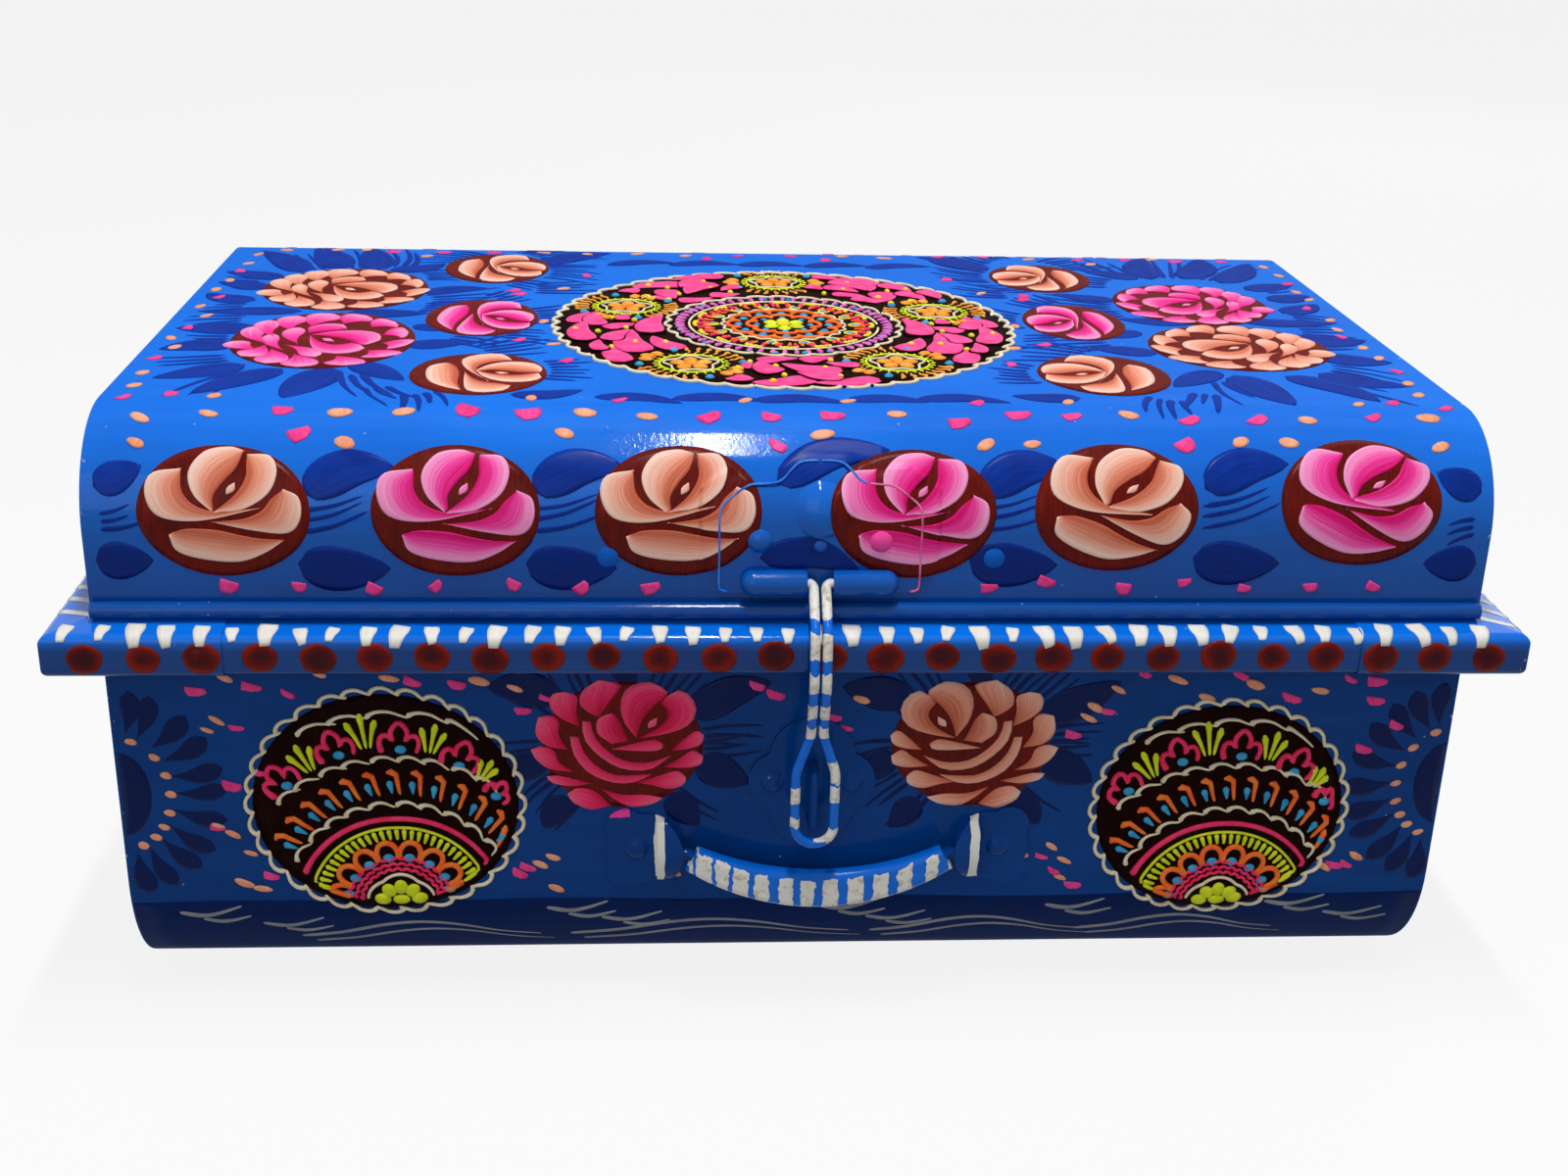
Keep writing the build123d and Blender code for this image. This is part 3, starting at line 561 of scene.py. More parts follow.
# ---- curves ----
def curve(points, count):
    """Evenly spaced points on a smooth curve through a few points."""
    p = np.array(points, float)
    if len(p) == 2:
        return p[0] + np.linspace(0, 1, count)[:, None] * (p[1] - p[0])
    q = np.vstack([2 * p[0] - p[1], p, 2 * p[-1] - p[-2]])
    t = np.linspace(0, 1, curve_steps, endpoint=False)[:, None]
    runs = []
    for a, b, c, d in zip(q, q[1:], q[2:], q[3:]):
        runs.append(0.5 * (2 * b + (c - a) * t + (2 * a - 5 * b + 4 * c - d) * t ** 2
                           + (3 * b - a - 3 * c + d) * t ** 3))
    fine = np.vstack([*runs, p[-1:]])
    steps = distances(fine)
    wanted = np.linspace(0, steps[-1], count)
    return np.stack([np.interp(wanted, steps, fine[:, i]) for i in (0, 1)], axis=1)


def slopes(line):
    """The unit direction of a line at each of its points."""
    slope = np.gradient(line, axis=0)
    return slope / (np.linalg.norm(slope, axis=1)[:, None] + 1e-9)


def beside(steps):
    """Steps turned a quarter to the left."""
    return np.stack([-steps[..., 1], steps[..., 0]], axis=-1)


def bowed(root, tip, share):
    """Three points from root to tip, with the middle one set aside by a share of the way."""
    return [root, (root + tip) / 2 + beside(tip - root) * share, tip]


def turned(points, degrees, scale=(1.0, 1.0), shift=(0.0, 0.0)):
    """Points turned about the origin, then scaled and moved."""
    a = math.radians(degrees)
    p = np.array(points, float)
    x = p[:, 0] * math.cos(a) - p[:, 1] * math.sin(a)
    y = p[:, 0] * math.sin(a) + p[:, 1] * math.cos(a)
    return np.stack([x * scale[0] + shift[0], y * scale[1] + shift[1]], axis=1)


def on_oval(centre, radii, degrees):
    a = math.radians(degrees)
    return (centre[0] + radii[0] * math.cos(a), centre[1] + radii[1] * math.sin(a))


def on_circle(centre, radius, degrees):
    return on_oval(centre, (radius, radius), degrees)


# ---- a coat: the strokes that make one piece ----
def new_object(name, data):
    item = bpy.data.objects.new(name, data)
    bpy.context.scene.collection.objects.link(item)
    return item


def grid_faces(rows, wide, first=0):
    """The quads of a grid: rows of points, wide points in each, whose first has the index first."""
    corners = [first + i * wide + k for i in range(rows - 1) for k in range(wide - 1)]
    return [(c, c + wide, c + wide + 1, c + 1) for c in corners]


# Where a piped line's points lie across it, from -1 to 1.
PIPE_ACROSS = np.array([-1.0, -0.8, -0.35, 0.35, 0.8, 1.0])


class Coat:
    """Strokes of paint laid flat, gathered to become one mesh on one sheet."""

    def __init__(self, sheet):
        self.sheet = sheet
        self.points, self.brush, self.load, self.faces = [], [], [], []
        self.slots, self.paints, self.hard = [], [], []
        self.total, self.strokes = 0, 0

    def add(self, points, brush, load, faces, paint, hard):
        """hard says of each face whether it meets its neighbours in a crease, as a stroke's rim does."""
        if paint not in self.paints:
            self.paints.append(paint)
        slot = self.paints.index(paint)
        points = np.array(points, float)
        points[:, 2] += np.where(points[:, 2] > 0, overlap_step * (self.strokes % overlap_steps), 0)
        self.strokes += 1
        self.points.append(points)
        self.brush.append(brush)
        self.load.append(load)
        self.faces += [tuple(i + self.total for i in face) for face in faces]
        self.slots += [slot] * len(faces)
        self.hard += hard
        self.total += len(points)

    def bends(self, points):
        """Whether the sheet bends under flat points, so that a stroke needs a bent underside."""
        if self.sheet is None:
            return False
        ends = [points[..., 1].min(), points[..., 1].max()]
        tilt = np.interp(ends, self.sheet.along, self.sheet.normal[:, 1])
        return abs(tilt[1] - tilt[0]) > steepest

    def patch(self, rows, paint, layer, thick=film, loads=(0.5, 0.5), ends=None):
        """A stroke from a grid of flat points. Its rim drops into the metal, and it is closed below.

        loads are the brush's load at the first and last column where the stroke starts, and ends
        are the same where it ends."""
        rows = np.array(rows, float)
        n, m = rows.shape[:2]
        edge = rows[[0, *range(n), n - 1]][:, [0, *range(m), m - 1]]
        down = np.ones((n + 2, m + 2)) * (layer + thick)
        down[1, :] = down[-2, :] = down[:, 1] = down[:, -2] = layer + rim_share * thick
        down[0, :] = down[-1, :] = down[:, 0] = down[:, -1] = sink
        share = np.clip(np.arange(-1, m + 1) / (m - 1), 0, 1)
        along = np.clip(np.arange(-1, n + 1) / (n - 1), 0, 1)[:, None]
        points = np.dstack([edge, down]).reshape(-1, 3)
        hairs = share[None, :] + hand.uniform(0, hair_run)
        brush = np.dstack(np.broadcast_arrays(hairs, along)).reshape(-1, 2)
        start, stop = [pair[0] + (pair[1] - pair[0]) * share for pair in (loads, ends or loads)]
        load = (start * (1 - along) + stop * along).reshape(-1)
        wide = m + 2
        faces = [(a, d, c, b) for a, b, c, d in grid_faces(n + 2, wide)]
        hard = [i in (0, n) or k in (0, m) for i in range(n + 1) for k in range(m + 1)]
        if self.bends(rows):
            under = grid_faces(n, m, len(points))
            points = np.vstack([points, np.dstack([rows, np.full((n, m), sink)]).reshape(-1, 3)])
            brush = np.vstack([brush, np.zeros((n * m, 2))])
            load = np.concatenate([load, np.zeros(n * m)])
        else:
            under = [(c, c + wide, c + wide + m + 1, c + m + 1) for c in range(0, (n + 1) * wide, wide)]
        faces += under
        hard += [True] * len(under)
        across, forward = rows[n // 2, -1] - rows[n // 2, 0], rows[-1, m // 2] - rows[0, m // 2]
        if across[0] * forward[1] - across[1] * forward[0] < 0:
            faces = [face[::-1] for face in faces]
        self.add(points, brush, load, faces, paint, hard)

    def petal(self, first, second, paint, layer=layer_petal, loads=(1.0, 0.0), ends=None, count=14,
              wide=6, thick=film):
        """A stroke between two curves, each through a few points."""
        a, b = curve(first, count), curve(second, count)
        share = np.linspace(0, 1, wide)[None, :, None]
        self.patch(a[:, None] * (1 - share) + b[:, None] * share, paint, layer, thick, loads, ends)

    def leaf(self, spine, width, paint, layer=layer_leaf, blunt=0.6, loads=(0.2, 0.8), ends=None,
             count=14, thick=film):
        """A stroke that swells and closes along a spine: blunt under 1 is widest near its start,
        and over 1 near its end."""
        line = curve(spine, count)
        side = -beside(slopes(line))
        t = np.linspace(0, 1, count)
        swell = np.sin(np.pi * t ** blunt) ** 0.7 * width / 2
        share = np.linspace(-1, 1, leaf_columns)[None, :, None]
        grid = line[:, None] + side[:, None] * swell[:, None, None] * share
        self.patch(grid, paint, layer, thick, loads, ends)

    def spot(self, centre, radii, paint, layer, thick=film, turn=0.0, wobble=0.0, sides=24, rings=3):
        """A round patch with a wobbling rim."""
        angles = np.arange(sides) * 2 * math.pi / sides
        rim = np.ones(sides)
        for wave in (2, 3, 5):
            rim += wobble * hand.uniform(0.3, 1.0) * np.cos(wave * angles + hand.uniform(0, 6)) / wave
        unit = np.stack([np.cos(angles) * rim, np.sin(angles) * rim], axis=1)
        rim_points = turned(unit * np.array(radii), turn, shift=centre)
        middle = np.array(centre, float)
        points, brush = [[*middle, layer + thick]], [[0.5, 0.5]]
        offset = hand.uniform(0, hair_run)
        for ring in range(1, rings + 1):
            share = ring / rings
            height = layer + thick * (math.sqrt(1 - share ** 2) if ring < rings else 0.3)
            for p, q in zip(rim_points, unit):
                points.append([*(middle + (p - middle) * share), height])
                brush.append([0.5 + q[0] * share / 2, 0.5 + q[1] * share / 2])
        points += [[*p, sink] for p in rim_points]
        brush += [[0.5, 0.5]] * sides
        faces = [(0, 1 + k, 1 + (k + 1) % sides) for k in range(sides)]
        for ring in range(rings):
            low, high = 1 + ring * sides, 1 + (ring + 1) * sides
            faces += [(low + k, high + k, high + (k + 1) % sides, low + (k + 1) % sides)
                      for k in range(sides)]
        hard = [False] * (sides * rings) + [thick < soft_from] * sides
        last = 1 + rings * sides
        if self.bends(rim_points):
            base = len(points)
            points += [[p[0], p[1], sink] for p in points[:last]]
            brush += brush[:last]
            under = [(base + face[0], *[base + i for i in face[:0:-1]]) for face in faces[:sides * rings]]
        else:
            under = [tuple(last + k for k in reversed(range(sides)))]
        faces += under
        hard += [True] * len(under)
        brush = np.array(brush)
        load = np.clip(2 * np.hypot(*(brush - 0.5).T), 0, 1)
        brush = brush * (max(radii) / brush_wide) + [offset, 0]
        self.add(np.array(points), brush, load, faces, paint, hard)

    def bead(self, points, width, paint, tall=0.5, head=1.0, tail=0.55, count=None, layer=layer_disc):
        """A piped line. It starts with a blob, head times its width, and thins to tail times."""
        count = count or int(np.clip(distances(np.array(points, float))[-1] / (0.8 * width), 6, 40))
        line = curve(points, count)
        side = beside(slopes(line))
        steps = distances(line)
        length = steps[-1]
        t = steps / length
        blob = 1 + (head - 1) * np.exp(-(steps / (1.5 * width)) ** 2)
        half = width / 2 * blob * (1 - (1 - tail) * t ** 1.4)
        reach = np.minimum(steps, length - steps)
        cap = min(width * 0.5 * head, length * 0.3)
        close = np.sqrt(np.clip(1 - (1 - np.clip(reach / cap, 0, 1)) ** 2, 0.10, 1))
        dome = np.sqrt(1 - PIPE_ACROSS ** 2)
        grid = line[:, None] + side[:, None] * (half * close)[:, None, None] * PIPE_ACROSS[None, :, None]
        height = layer + tall * 2 * (half * close)[:, None] * dome[None, :]
        height[:, 0] = height[:, -1] = sink
        height[0] = height[-1] = sink
        n, m = grid.shape[:2]
        points = np.dstack([grid, height]).reshape(-1, 3)
        faces = grid_faces(n, m) + [(c + m - 1, c + m + m - 1, c + m, c) for c in range(0, (n - 1) * m, m)]
        hard = [False] * ((n - 1) * (m - 1)) + [True] * (n - 1)
        brush = np.dstack(np.broadcast_arrays((PIPE_ACROSS[None, :] + 1) / 2, t[:, None])).reshape(-1, 2)
        self.add(points, brush, np.full(n * m, 0.5), faces, paint, hard)

    def dot(self, centre, radius, paint, tall=0.5, layer=layer_disc, oval=1.0, turn=0.0):
        self.spot(centre, (radius, radius * oval), paint, layer, tall * radius, turn, sides=12, rings=2)

    def stamp(self, made, stroke, paint):
        """Adds copies of one stroke that Geometry Nodes made as a flat mesh."""
        points = np.zeros(len(made.vertices) * 3)
        made.vertices.foreach_get("co", points)
        points = points.reshape(-1, 3) / MM
        copies = len(points) // stroke.total
        brush = np.tile(np.vstack(stroke.brush), (copies, 1))
        brush[:, 0] += np.repeat([hand.uniform(0, hair_run) for _ in range(copies)], stroke.total)
        load = np.tile(np.concatenate(stroke.load), copies)
        faces = [tuple(p.vertices) for p in made.polygons]
        self.add(points, brush, load, faces, paint, stroke.hard * copies)

    def lay(self, name, body):
        """Wraps the coat round its sheet as one piece that rides on a body."""
        flat = np.vstack(self.points)
        mesh = bpy.data.meshes.new(name)
        mesh.from_pydata(self.sheet.lift(flat), [], self.faces)
        for paint in self.paints:
            mesh.materials.append(FINISH[paint])
        mesh.polygons.foreach_set("material_index", self.slots)
        corners = np.zeros(len(mesh.loops), int)
        mesh.loops.foreach_get("vertex_index", corners)
        low, high = flat[:, :2].min(0), flat[:, :2].max(0)
        bake = (flat[:, :2] - low) / (high - low).max()
        for title, places in (("Stroke", np.vstack(self.brush)), ("OFBake", bake)):
            layer = mesh.uv_layers.new(name=title)
            layer.data.foreach_set("uv", places[corners].astype(np.float32).ravel())
        load = mesh.attributes.new("load", "FLOAT", "POINT")
        load.data.foreach_set("value", np.concatenate(self.load).astype(np.float32))
        mesh.polygons.foreach_set("use_smooth", np.logical_not(self.hard))
        shell = bmesh.new()
        shell.from_mesh(mesh)
        bmesh.ops.remove_doubles(shell, verts=shell.verts, dist=weld * MM)
        shell.to_mesh(mesh)
        shell.free()
        mesh.validate()
        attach(new_object(name, mesh), body)


# ---- Geometry Nodes: strokes repeated along a line or round an oval ----
REPEAT_INPUTS = [("Stroke", "Object"), ("Count", "Int"), ("Start", "Vector"), ("Step", "Vector"),
                 ("Radii", "Vector"), ("First Angle", "Float"), ("Sweep", "Float"),
                 ("Turn Spread", "Float"), ("Size Spread", "Float"), ("Shift Spread", "Float"),
                 ("Seed", "Int"), ("Paint", "Material")]


def repeat_tree():
    """Copies a stroke along Step from Start, and round an oval of Radii, with a hand's unevenness."""
    tree = bpy.data.node_groups.new("repeated_strokes", "GeometryNodeTree")
    tree.interface.new_socket("Geometry", in_out="INPUT", socket_type="NodeSocketGeometry")
    for label, kind in REPEAT_INPUTS:
        tree.interface.new_socket(label, in_out="INPUT", socket_type=f"NodeSocket{kind}")
    tree.interface.new_socket("Geometry", in_out="OUTPUT", socket_type="NodeSocketGeometry")
    given = tree.nodes.new("NodeGroupInput").outputs

    def put(kind, *values, **named):
        return add_node(tree, kind, *values, **named).outputs[0]

    def vector(kind, a, b):
        node = tree.nodes.new("ShaderNodeVectorMath")
        node.operation = kind
        join(tree, a, node.inputs[0])
        join(tree, b, node.inputs[3 if kind == "SCALE" else 1])
        return node.outputs[0]

    def spread(label, seed_shift):
        """A random value between minus and plus an input's own, for each copy."""
        node = tree.nodes.new("FunctionNodeRandomValue")
        join(tree, calc(tree, "MULTIPLY", given[label], -1.0), node.inputs[2])
        join(tree, given[label], node.inputs[3])
        join(tree, calc(tree, "ADD", given["Seed"], seed_shift), node.inputs["Seed"])
        return node.outputs[1]

    index = put("GeometryNodeInputIndex")
    share = calc(tree, "DIVIDE", index, given["Count"])
    angle = calc(tree, "ADD", given["First Angle"], calc(tree, "MULTIPLY", share, given["Sweep"]))
    radii = add_node(tree, "ShaderNodeSeparateXYZ", given["Radii"]).outputs
    cosine, sine = calc(tree, "COSINE", angle), calc(tree, "SINE", angle)
    round_u = calc(tree, "ADD", calc(tree, "MULTIPLY", cosine, radii[0]), spread("Shift Spread", 1))
    round_v = calc(tree, "ADD", calc(tree, "MULTIPLY", sine, radii[1]), spread("Shift Spread", 2))
    walk = vector("ADD", given["Start"], vector("SCALE", given["Step"], index))
    place = vector("ADD", walk, put("ShaderNodeCombineXYZ", round_u, round_v))
    points = put("GeometryNodePoints", Count=given["Count"])
    points = put("GeometryNodeSetPosition", Geometry=points, Position=place)
    outward = calc(tree, "ARCTAN2", sine, cosine)
    turn = put("ShaderNodeCombineXYZ", Z=calc(tree, "ADD", outward, spread("Turn Spread", 3)))
    size = calc(tree, "ADD", spread("Size Spread", 4), 1.0)
    model = add_node(tree, "GeometryNodeObjectInfo", Object=given["Stroke"]).outputs["Geometry"]
    copies = put("GeometryNodeInstanceOnPoints", Points=points, Instance=model, Rotation=turn, Scale=size)
    real = put("GeometryNodeRealizeInstances", copies)
    painted = put("GeometryNodeSetMaterial", Geometry=real, Material=given["Paint"])
    add_node(tree, "NodeGroupOutput", painted)
    return tree


REPEAT = repeat_tree()


def repeated(coat, build, paint, count, **values):
    """Has the tree repeat the stroke that build draws round the origin, and adds the copies to a
    coat. Lengths are in millimetres and angles in degrees."""
    flat = Coat(None)
    build(flat)
    mesh = bpy.data.meshes.new("stroke")
    mesh.from_pydata(np.vstack(flat.points) * MM, [], flat.faces)
    stroke = new_object("stroke", mesh)
    carrier = new_object("carrier", bpy.data.meshes.new("carrier"))
    modifier = carrier.modifiers.new("repeat", "NODES")
    modifier.node_group = REPEAT
    settings = {"Stroke": stroke, "Count": count, "Paint": FINISH[paint], "Seed": hand.randrange(10000)}
    for key, kind in REPEAT_INPUTS:
        value = values.get(key.lower().replace(" ", "_"), (0, 0) if kind == "Vector" else 0.0)
        if kind == "Vector":
            settings[key] = [value[0] * MM, value[1] * MM, 0.0]
        elif key in ("First Angle", "Sweep", "Turn Spread"):
            settings[key] = math.radians(value)
        elif kind == "Float":
            settings[key] = value * (MM if key == "Shift Spread" else 1.0)
    for item in REPEAT.interface.items_tree:
        if item.in_out == "INPUT" and item.name in settings:
            modifier[item.identifier] = settings[item.name]
    bpy.context.view_layer.update()
    ready = carrier.evaluated_get(bpy.context.evaluated_depsgraph_get())
    made = bpy.data.meshes.new_from_object(ready)
    carrier.modifiers.remove(modifier)
    bpy.data.objects.remove(carrier)
    bpy.data.objects.remove(stroke)
    coat.stamp(made, flat, paint)


# ---- motifs ----
ROSE_PARTS = ("rose_discs", "rose_petals", "leaves", "dabs")


def rose_coats(sheet):
    """The coats of a bed of roses: discs, petals, leaves and small touches."""
    return [Coat(sheet) for _ in ROSE_PARTS]


def lay_coats(coats, place, body, parts=ROSE_PARTS):
    for coat, part in zip(coats, parts):
        coat.lay(f"{place}_{part}", body)


# A rose is drawn in a circle of radius 100, and each petal is a pair of curves: pale side, deep side.
ROSE_PETALS = [
    # left sweep
    ([(-52, 66), (-88, 58), (-96, 26), (-80, -8), (-30, -15), (46, 5)],
     [(-52, 62), (-50, 30), (-34, 8), (-5, -2), (20, 2), (46, 5)]),
    # cup, left side
    ([(-13, -2), (-36, 25), (-42, 60), (-24, 92), (5, 100), (24, 93)],
     [(-10, 2), (-10, 24), (2, 46), (14, 62), (20, 76), (24, 93)]),
    # cup, right side
    ([(-12, -2), (26, 4), (56, 28), (66, 62), (56, 88), (28, 90)],
     [(-8, 3), (10, 20), (22, 38), (28, 56), (28, 72), (28, 90)]),
    # right sweep
    ([(76, 34), (96, 20), (97, -14), (80, -36), (38, -32), (-15, -18)],
     [(74, 32), (60, 18), (48, 0), (28, -12), (6, -16), (-15, -18)]),
    # low petal
    ([(-68, -38), (-60, -64), (-28, -78), (16, -82), (48, -68), (74, -46)],
     [(-64, -34), (-44, -28), (-10, -30), (18, -38), (44, -44), (74, -46)]),
]
ROSE_HEART = ([(4, 24), (5, 34), (14, 42)], [(4, 24), (14, 30), (14, 42)])


def rose(discs, petals, centre, radii, paint, turn=0.0, mirror=1, **fineness):
    """A simple rose: six strokes over a maroon disc. fineness is the petals' count and wide."""
    discs.spot(centre, radii, "maroon", layer_disc, wobble=0.025, sides=60, rings=10)
    for first, second in ROSE_PETALS:
        size = hand.uniform(0.92, 0.97)
        pair = []
        for side in (first, second):
            points = np.array(side) / 100 * [mirror, 1.0] + [hand.gauss(0, 0.008), hand.gauss(0, 0.008)]
            pair.append(turned(points, turn, (radii[0] * size, radii[1] * size), centre))
        petals.petal(*pair, paint, **fineness)
    pair = [turned(np.array(side) / 100 * [mirror, 1.0], turn, radii, centre) for side in ROSE_HEART]
    petals.petal(*pair, paint, count=6, wide=4, loads=(0.9, 0.6))


# A full rose has a ring of petals round two long sweeps and a cup. Each petal runs from its round
# outer end to its root.
FULL_ROSE_PETALS = [
    ([(-66, 81), (-82, 77), (-84, 58), (-72, 42), (-50, 29)],
     [(-66, 81), (-52, 74), (-53, 54), (-50, 29)]),
    ([(-26, 99), (-45, 82), (-48, 62), (-38, 50), (-26, 43)],
     [(-26, 99), (-1, 93), (-3, 82), (-13, 66), (-26, 43)]),
    ([(-98, 43), (-101, 18), (-88, 0), (-63, -6)],
     [(-98, 43), (-82, 46), (-73, 36), (-74, 17), (-63, -6)]),
    ([(-107, -6), (-100, -22), (-84, -36), (-55, -41)],
     [(-107, -6), (-93, -1), (-79, -8), (-73, -26), (-55, -41)]),
    ([(-91, -46), (-84, -56), (-62, -61), (-37, -57)],
     [(-91, -46), (-76, -45), (-56, -51), (-37, -57)]),
    ([(-66, -75), (-60, -88), (-38, -100), (-14, -93)],
     [(-66, -75), (-54, -66), (-34, -71), (-14, -93)]),
    ([(50, -82), (36, -92), (10, -95), (-10, -82), (-25, -66)],
     [(50, -82), (30, -77), (0, -76), (-25, -66)]),
    ([(77, -50), (74, -62), (56, -68), (36, -62), (17, -58)],
     [(77, -50), (66, -40), (46, -47), (17, -58)]),
    ([(97, -18), (94, -31), (76, -36), (50, -34)],
     [(97, -18), (84, -9), (69, -21), (50, -34)]),
    ([(99, 14), (95, 1), (80, -6), (60, -8)],
     [(99, 14), (90, 22), (75, 9), (60, -8)]),
]
FULL_ROSE_SWEEPS = [
    ([(-48, 37), (-46, 10), (-28, -17), (-2, -36), (32, -38), (58, -16)],
     [(-38, 36), (-34, 14), (-20, -7), (2, -24), (30, -27), (58, -16)]),
    ([(-62, 13), (-58, -14), (-41, -42), (-12, -58), (14, -58), (37, -45)],
     [(-52, 13), (-46, -10), (-31, -32), (-10, -46), (12, -47), (37, -45)]),
    ([(50, 1), (44, -7), (20, -8), (-13, -5)],
     [(50, 1), (40, 9), (16, 4), (-13, -5)]),
]
FULL_ROSE_CUP = [
    ([(-10, 49), (-27, 40), (-28, 18), (-12, 2)],
     [(-10, 49), (-2, 38), (4, 20), (10, 6)]),
    ([(53, 82), (34, 96), (8, 89), (-2, 65), (2, 36), (17, 11)],
     [(53, 74), (40, 62), (28, 46), (20, 26), (17, 11)]),
    ([(56, 76), (70, 83), (85, 68), (88, 46), (76, 27), (50, 16), (19, 10)],
     [(46, 64), (53, 54), (54, 42), (42, 25), (19, 10)]),
]
FULL_ROSE_HEART = ([(31, 27), (32, 36), (42, 43)], [(31, 27), (40, 31), (42, 43)])


def full_rose(discs, petals, centre, radii, paint, turn=0.0, mirror=1):
    """A full rose: a ring of petals, long sweeps and a cup, over a maroon disc."""
    discs.spot(centre, (radii[0] * 0.96, radii[1] * 0.96), "maroon", layer_disc, wobble=0.02, sides=48,
               rings=6)
    groups = ((FULL_ROSE_PETALS, (0.95, 0.70), (0.20, -0.05)), (FULL_ROSE_SWEEPS, (0.75, 0.35), (0.6, 0.25)),
              (FULL_ROSE_CUP, (0.85, 0.10), (0.45, 0.0)), ([FULL_ROSE_HEART], (0.9, 0.6), None))
    for strokes, loads, ends in groups:
        for first, second in strokes:
            nudge = [hand.gauss(0, 0.008), hand.gauss(0, 0.008)]
            pair = [turned(np.array(side) / 100 * [mirror, 1.0] + nudge, turn, radii, centre)
                    for side in (first, second)]
            petals.petal(*pair, paint, loads=loads, ends=ends, count=12, wide=6)


# A round rose opens to the right. Its rim petals are an outer end, a root and a width.
ROUND_ROSE_RIM = [
    ((-86, 44), (-56, -22), 22), ((-70, 68), (-52, 4), 24),
    ((-43, 87), (-38, 26), 28), ((-6, 95), (-22, 42), 34),
    ((34, 88), (12, 54), 36), ((68, 66), (44, 44), 37),
    ((90, 28), (62, 18), 38), ((94, -20), (66, -12), 38),
    ((74, -62), (52, -40), 38), ((36, -90), (22, -58), 36),
    ((-8, -97), (-20, -54), 33), ((-44, -86), (-48, -36), 30),
    ((-76, -62), (-58, -22), 27), ((-97, -12), (-62, -42), 25),
]
ROUND_ROSE_INNER = [((-36, 40), (-24, -24), 20), ((2, -62), (-40, -20), 20),
                    ((-60, 18), (-34, -44), 16)]


def round_rose(discs, petals, centre, radii, paint, mirror):
    """A rose seen from straight above: petals all round the rim, and the cup near its middle."""
    discs.spot(centre, radii, "maroon", layer_disc, wobble=0.02, sides=48, rings=5)
    for outer, root, width in ROUND_ROSE_RIM + ROUND_ROSE_INNER:
        nudge = [hand.gauss(0, 0.01), hand.gauss(0, 0.01)]
        outer, root = [np.array(centre) + np.array(radii) * ((np.array(p) / 100 + nudge) * [mirror, 1])
                       for p in (outer, root)]
        petals.leaf(bowed(root, outer, 0.10 * mirror), width / 100 * radii[0] * 1.22, paint, layer_petal,
                    2.1, (0.0, 0.1), (1.0, 0.8), count=12)
    for strokes, loads, ends in ((FULL_ROSE_CUP, (0.95, 0.15), (0.6, 0.0)),
                                 ([FULL_ROSE_HEART], (0.9, 0.6), None)):
        for pair in strokes:
            sides = [(turned(np.array(side) / 100, -90) - [0.50, -0.30]) * 0.92 + [0.20, 0.02]
                     for side in pair]
            sides = [side * [mirror * radii[0], radii[1]] + centre for side in sides]
            petals.petal(*sides, paint, layer_petal + 0.06, loads, ends, count=12, wide=6)


def dabs(coat, places, flat=1.0):
    """Small touches of a flat brush: pink ones are short and square, peach ones round."""
    for u, v, paint, size, turn in places:
        if paint == "pink_dab":
            high, skew = size * hand.uniform(0.55, 0.85) * flat, hand.uniform(-0.35, 0.35) * size
            first = [(-size, high * 0.8), (-size * 0.9, -high * 0.1), (-size * 0.5 + skew, -high)]
            second = [(size * 0.8, high), (size, high * 0.2), (size * 0.45 + skew, -high * 0.75)]
            sides = [turned(side, turn, shift=(u, v)) for side in (first, second)]
            coat.petal(*sides, paint, layer_disc, count=6, wide=5, thick=0.1)
        else:
            coat.spot((u, v), (size, size * hand.uniform(0.5, 0.7) * flat), paint, layer_disc, 0.12, turn,
                      wobble=0.14, sides=12, rings=2)


def scattered(u_span, v_span, count, size=3.0, share_pink=0.5, lean=(-35, 35)):
    """Places for a loose band of dabs, evenly stepped along u and shaken."""
    places = []
    for k in range(count):
        u = u_span[0] + (u_span[1] - u_span[0]) * (k + 0.5) / count + hand.uniform(-3, 3)
        v = hand.uniform(*v_span)
        paint = "pink_dab" if hand.random() < share_pink else "peach_dab"
        places.append((u, v, paint, size * hand.uniform(0.8, 1.2), hand.uniform(*lean)))
    return places


# One piped curl of a border: how far along its step, and how far outside the line in line widths.
CURL = ((0.0, -0.75), (0.10, 0.2), (0.32, 0.8), (0.62, 0.65), (0.90, -0.2), (1.16, -0.85))
curl_shake = 0.08           # how far a curl starts from its even place, as a share of its step


def border(coat, centre, radii, count, width, start=0.0):
    """S-shaped piped curls that follow each other clockwise round an oval."""
    step = -360 / count
    for k in range(count):
        first = start + step * (k + hand.uniform(-curl_shake, curl_shake))
        points = [on_oval(centre, [r + off * width for r in radii], first + step * share)
                  for share, off in CURL]
        coat.bead(points, width, "cream", head=1.2, tail=0.75, count=14)


def ring(coat, centre, radius, width, paint, count=60):
    points = [on_circle(centre, radius, 360 * k / (count - 1)) for k in range(count)]
    coat.bead(points, width, paint, head=0.9, tail=0.9, count=count)


def wavy_ring(coat, centre, radius, depth, width, step, swing, start=0.0, count=120):
    """A cream ring that swings in and out. step and swing are the degrees from point to point, round
    the ring and along a wave."""
    points = [on_circle(centre, radius + depth * math.cos(math.radians(swing * k)), start + step * k)
              for k in range(360 // step + 1)]
    coat.bead(points, width, "cream", head=0.9, tail=0.9, count=count)


def drop(coat, place, radii, paint, tall, turn=0.0, sides=12):
    """A thick oval touch of piped paint."""
    coat.spot(place, radii, paint, layer_disc, tall, turn, sides=sides, rings=2)


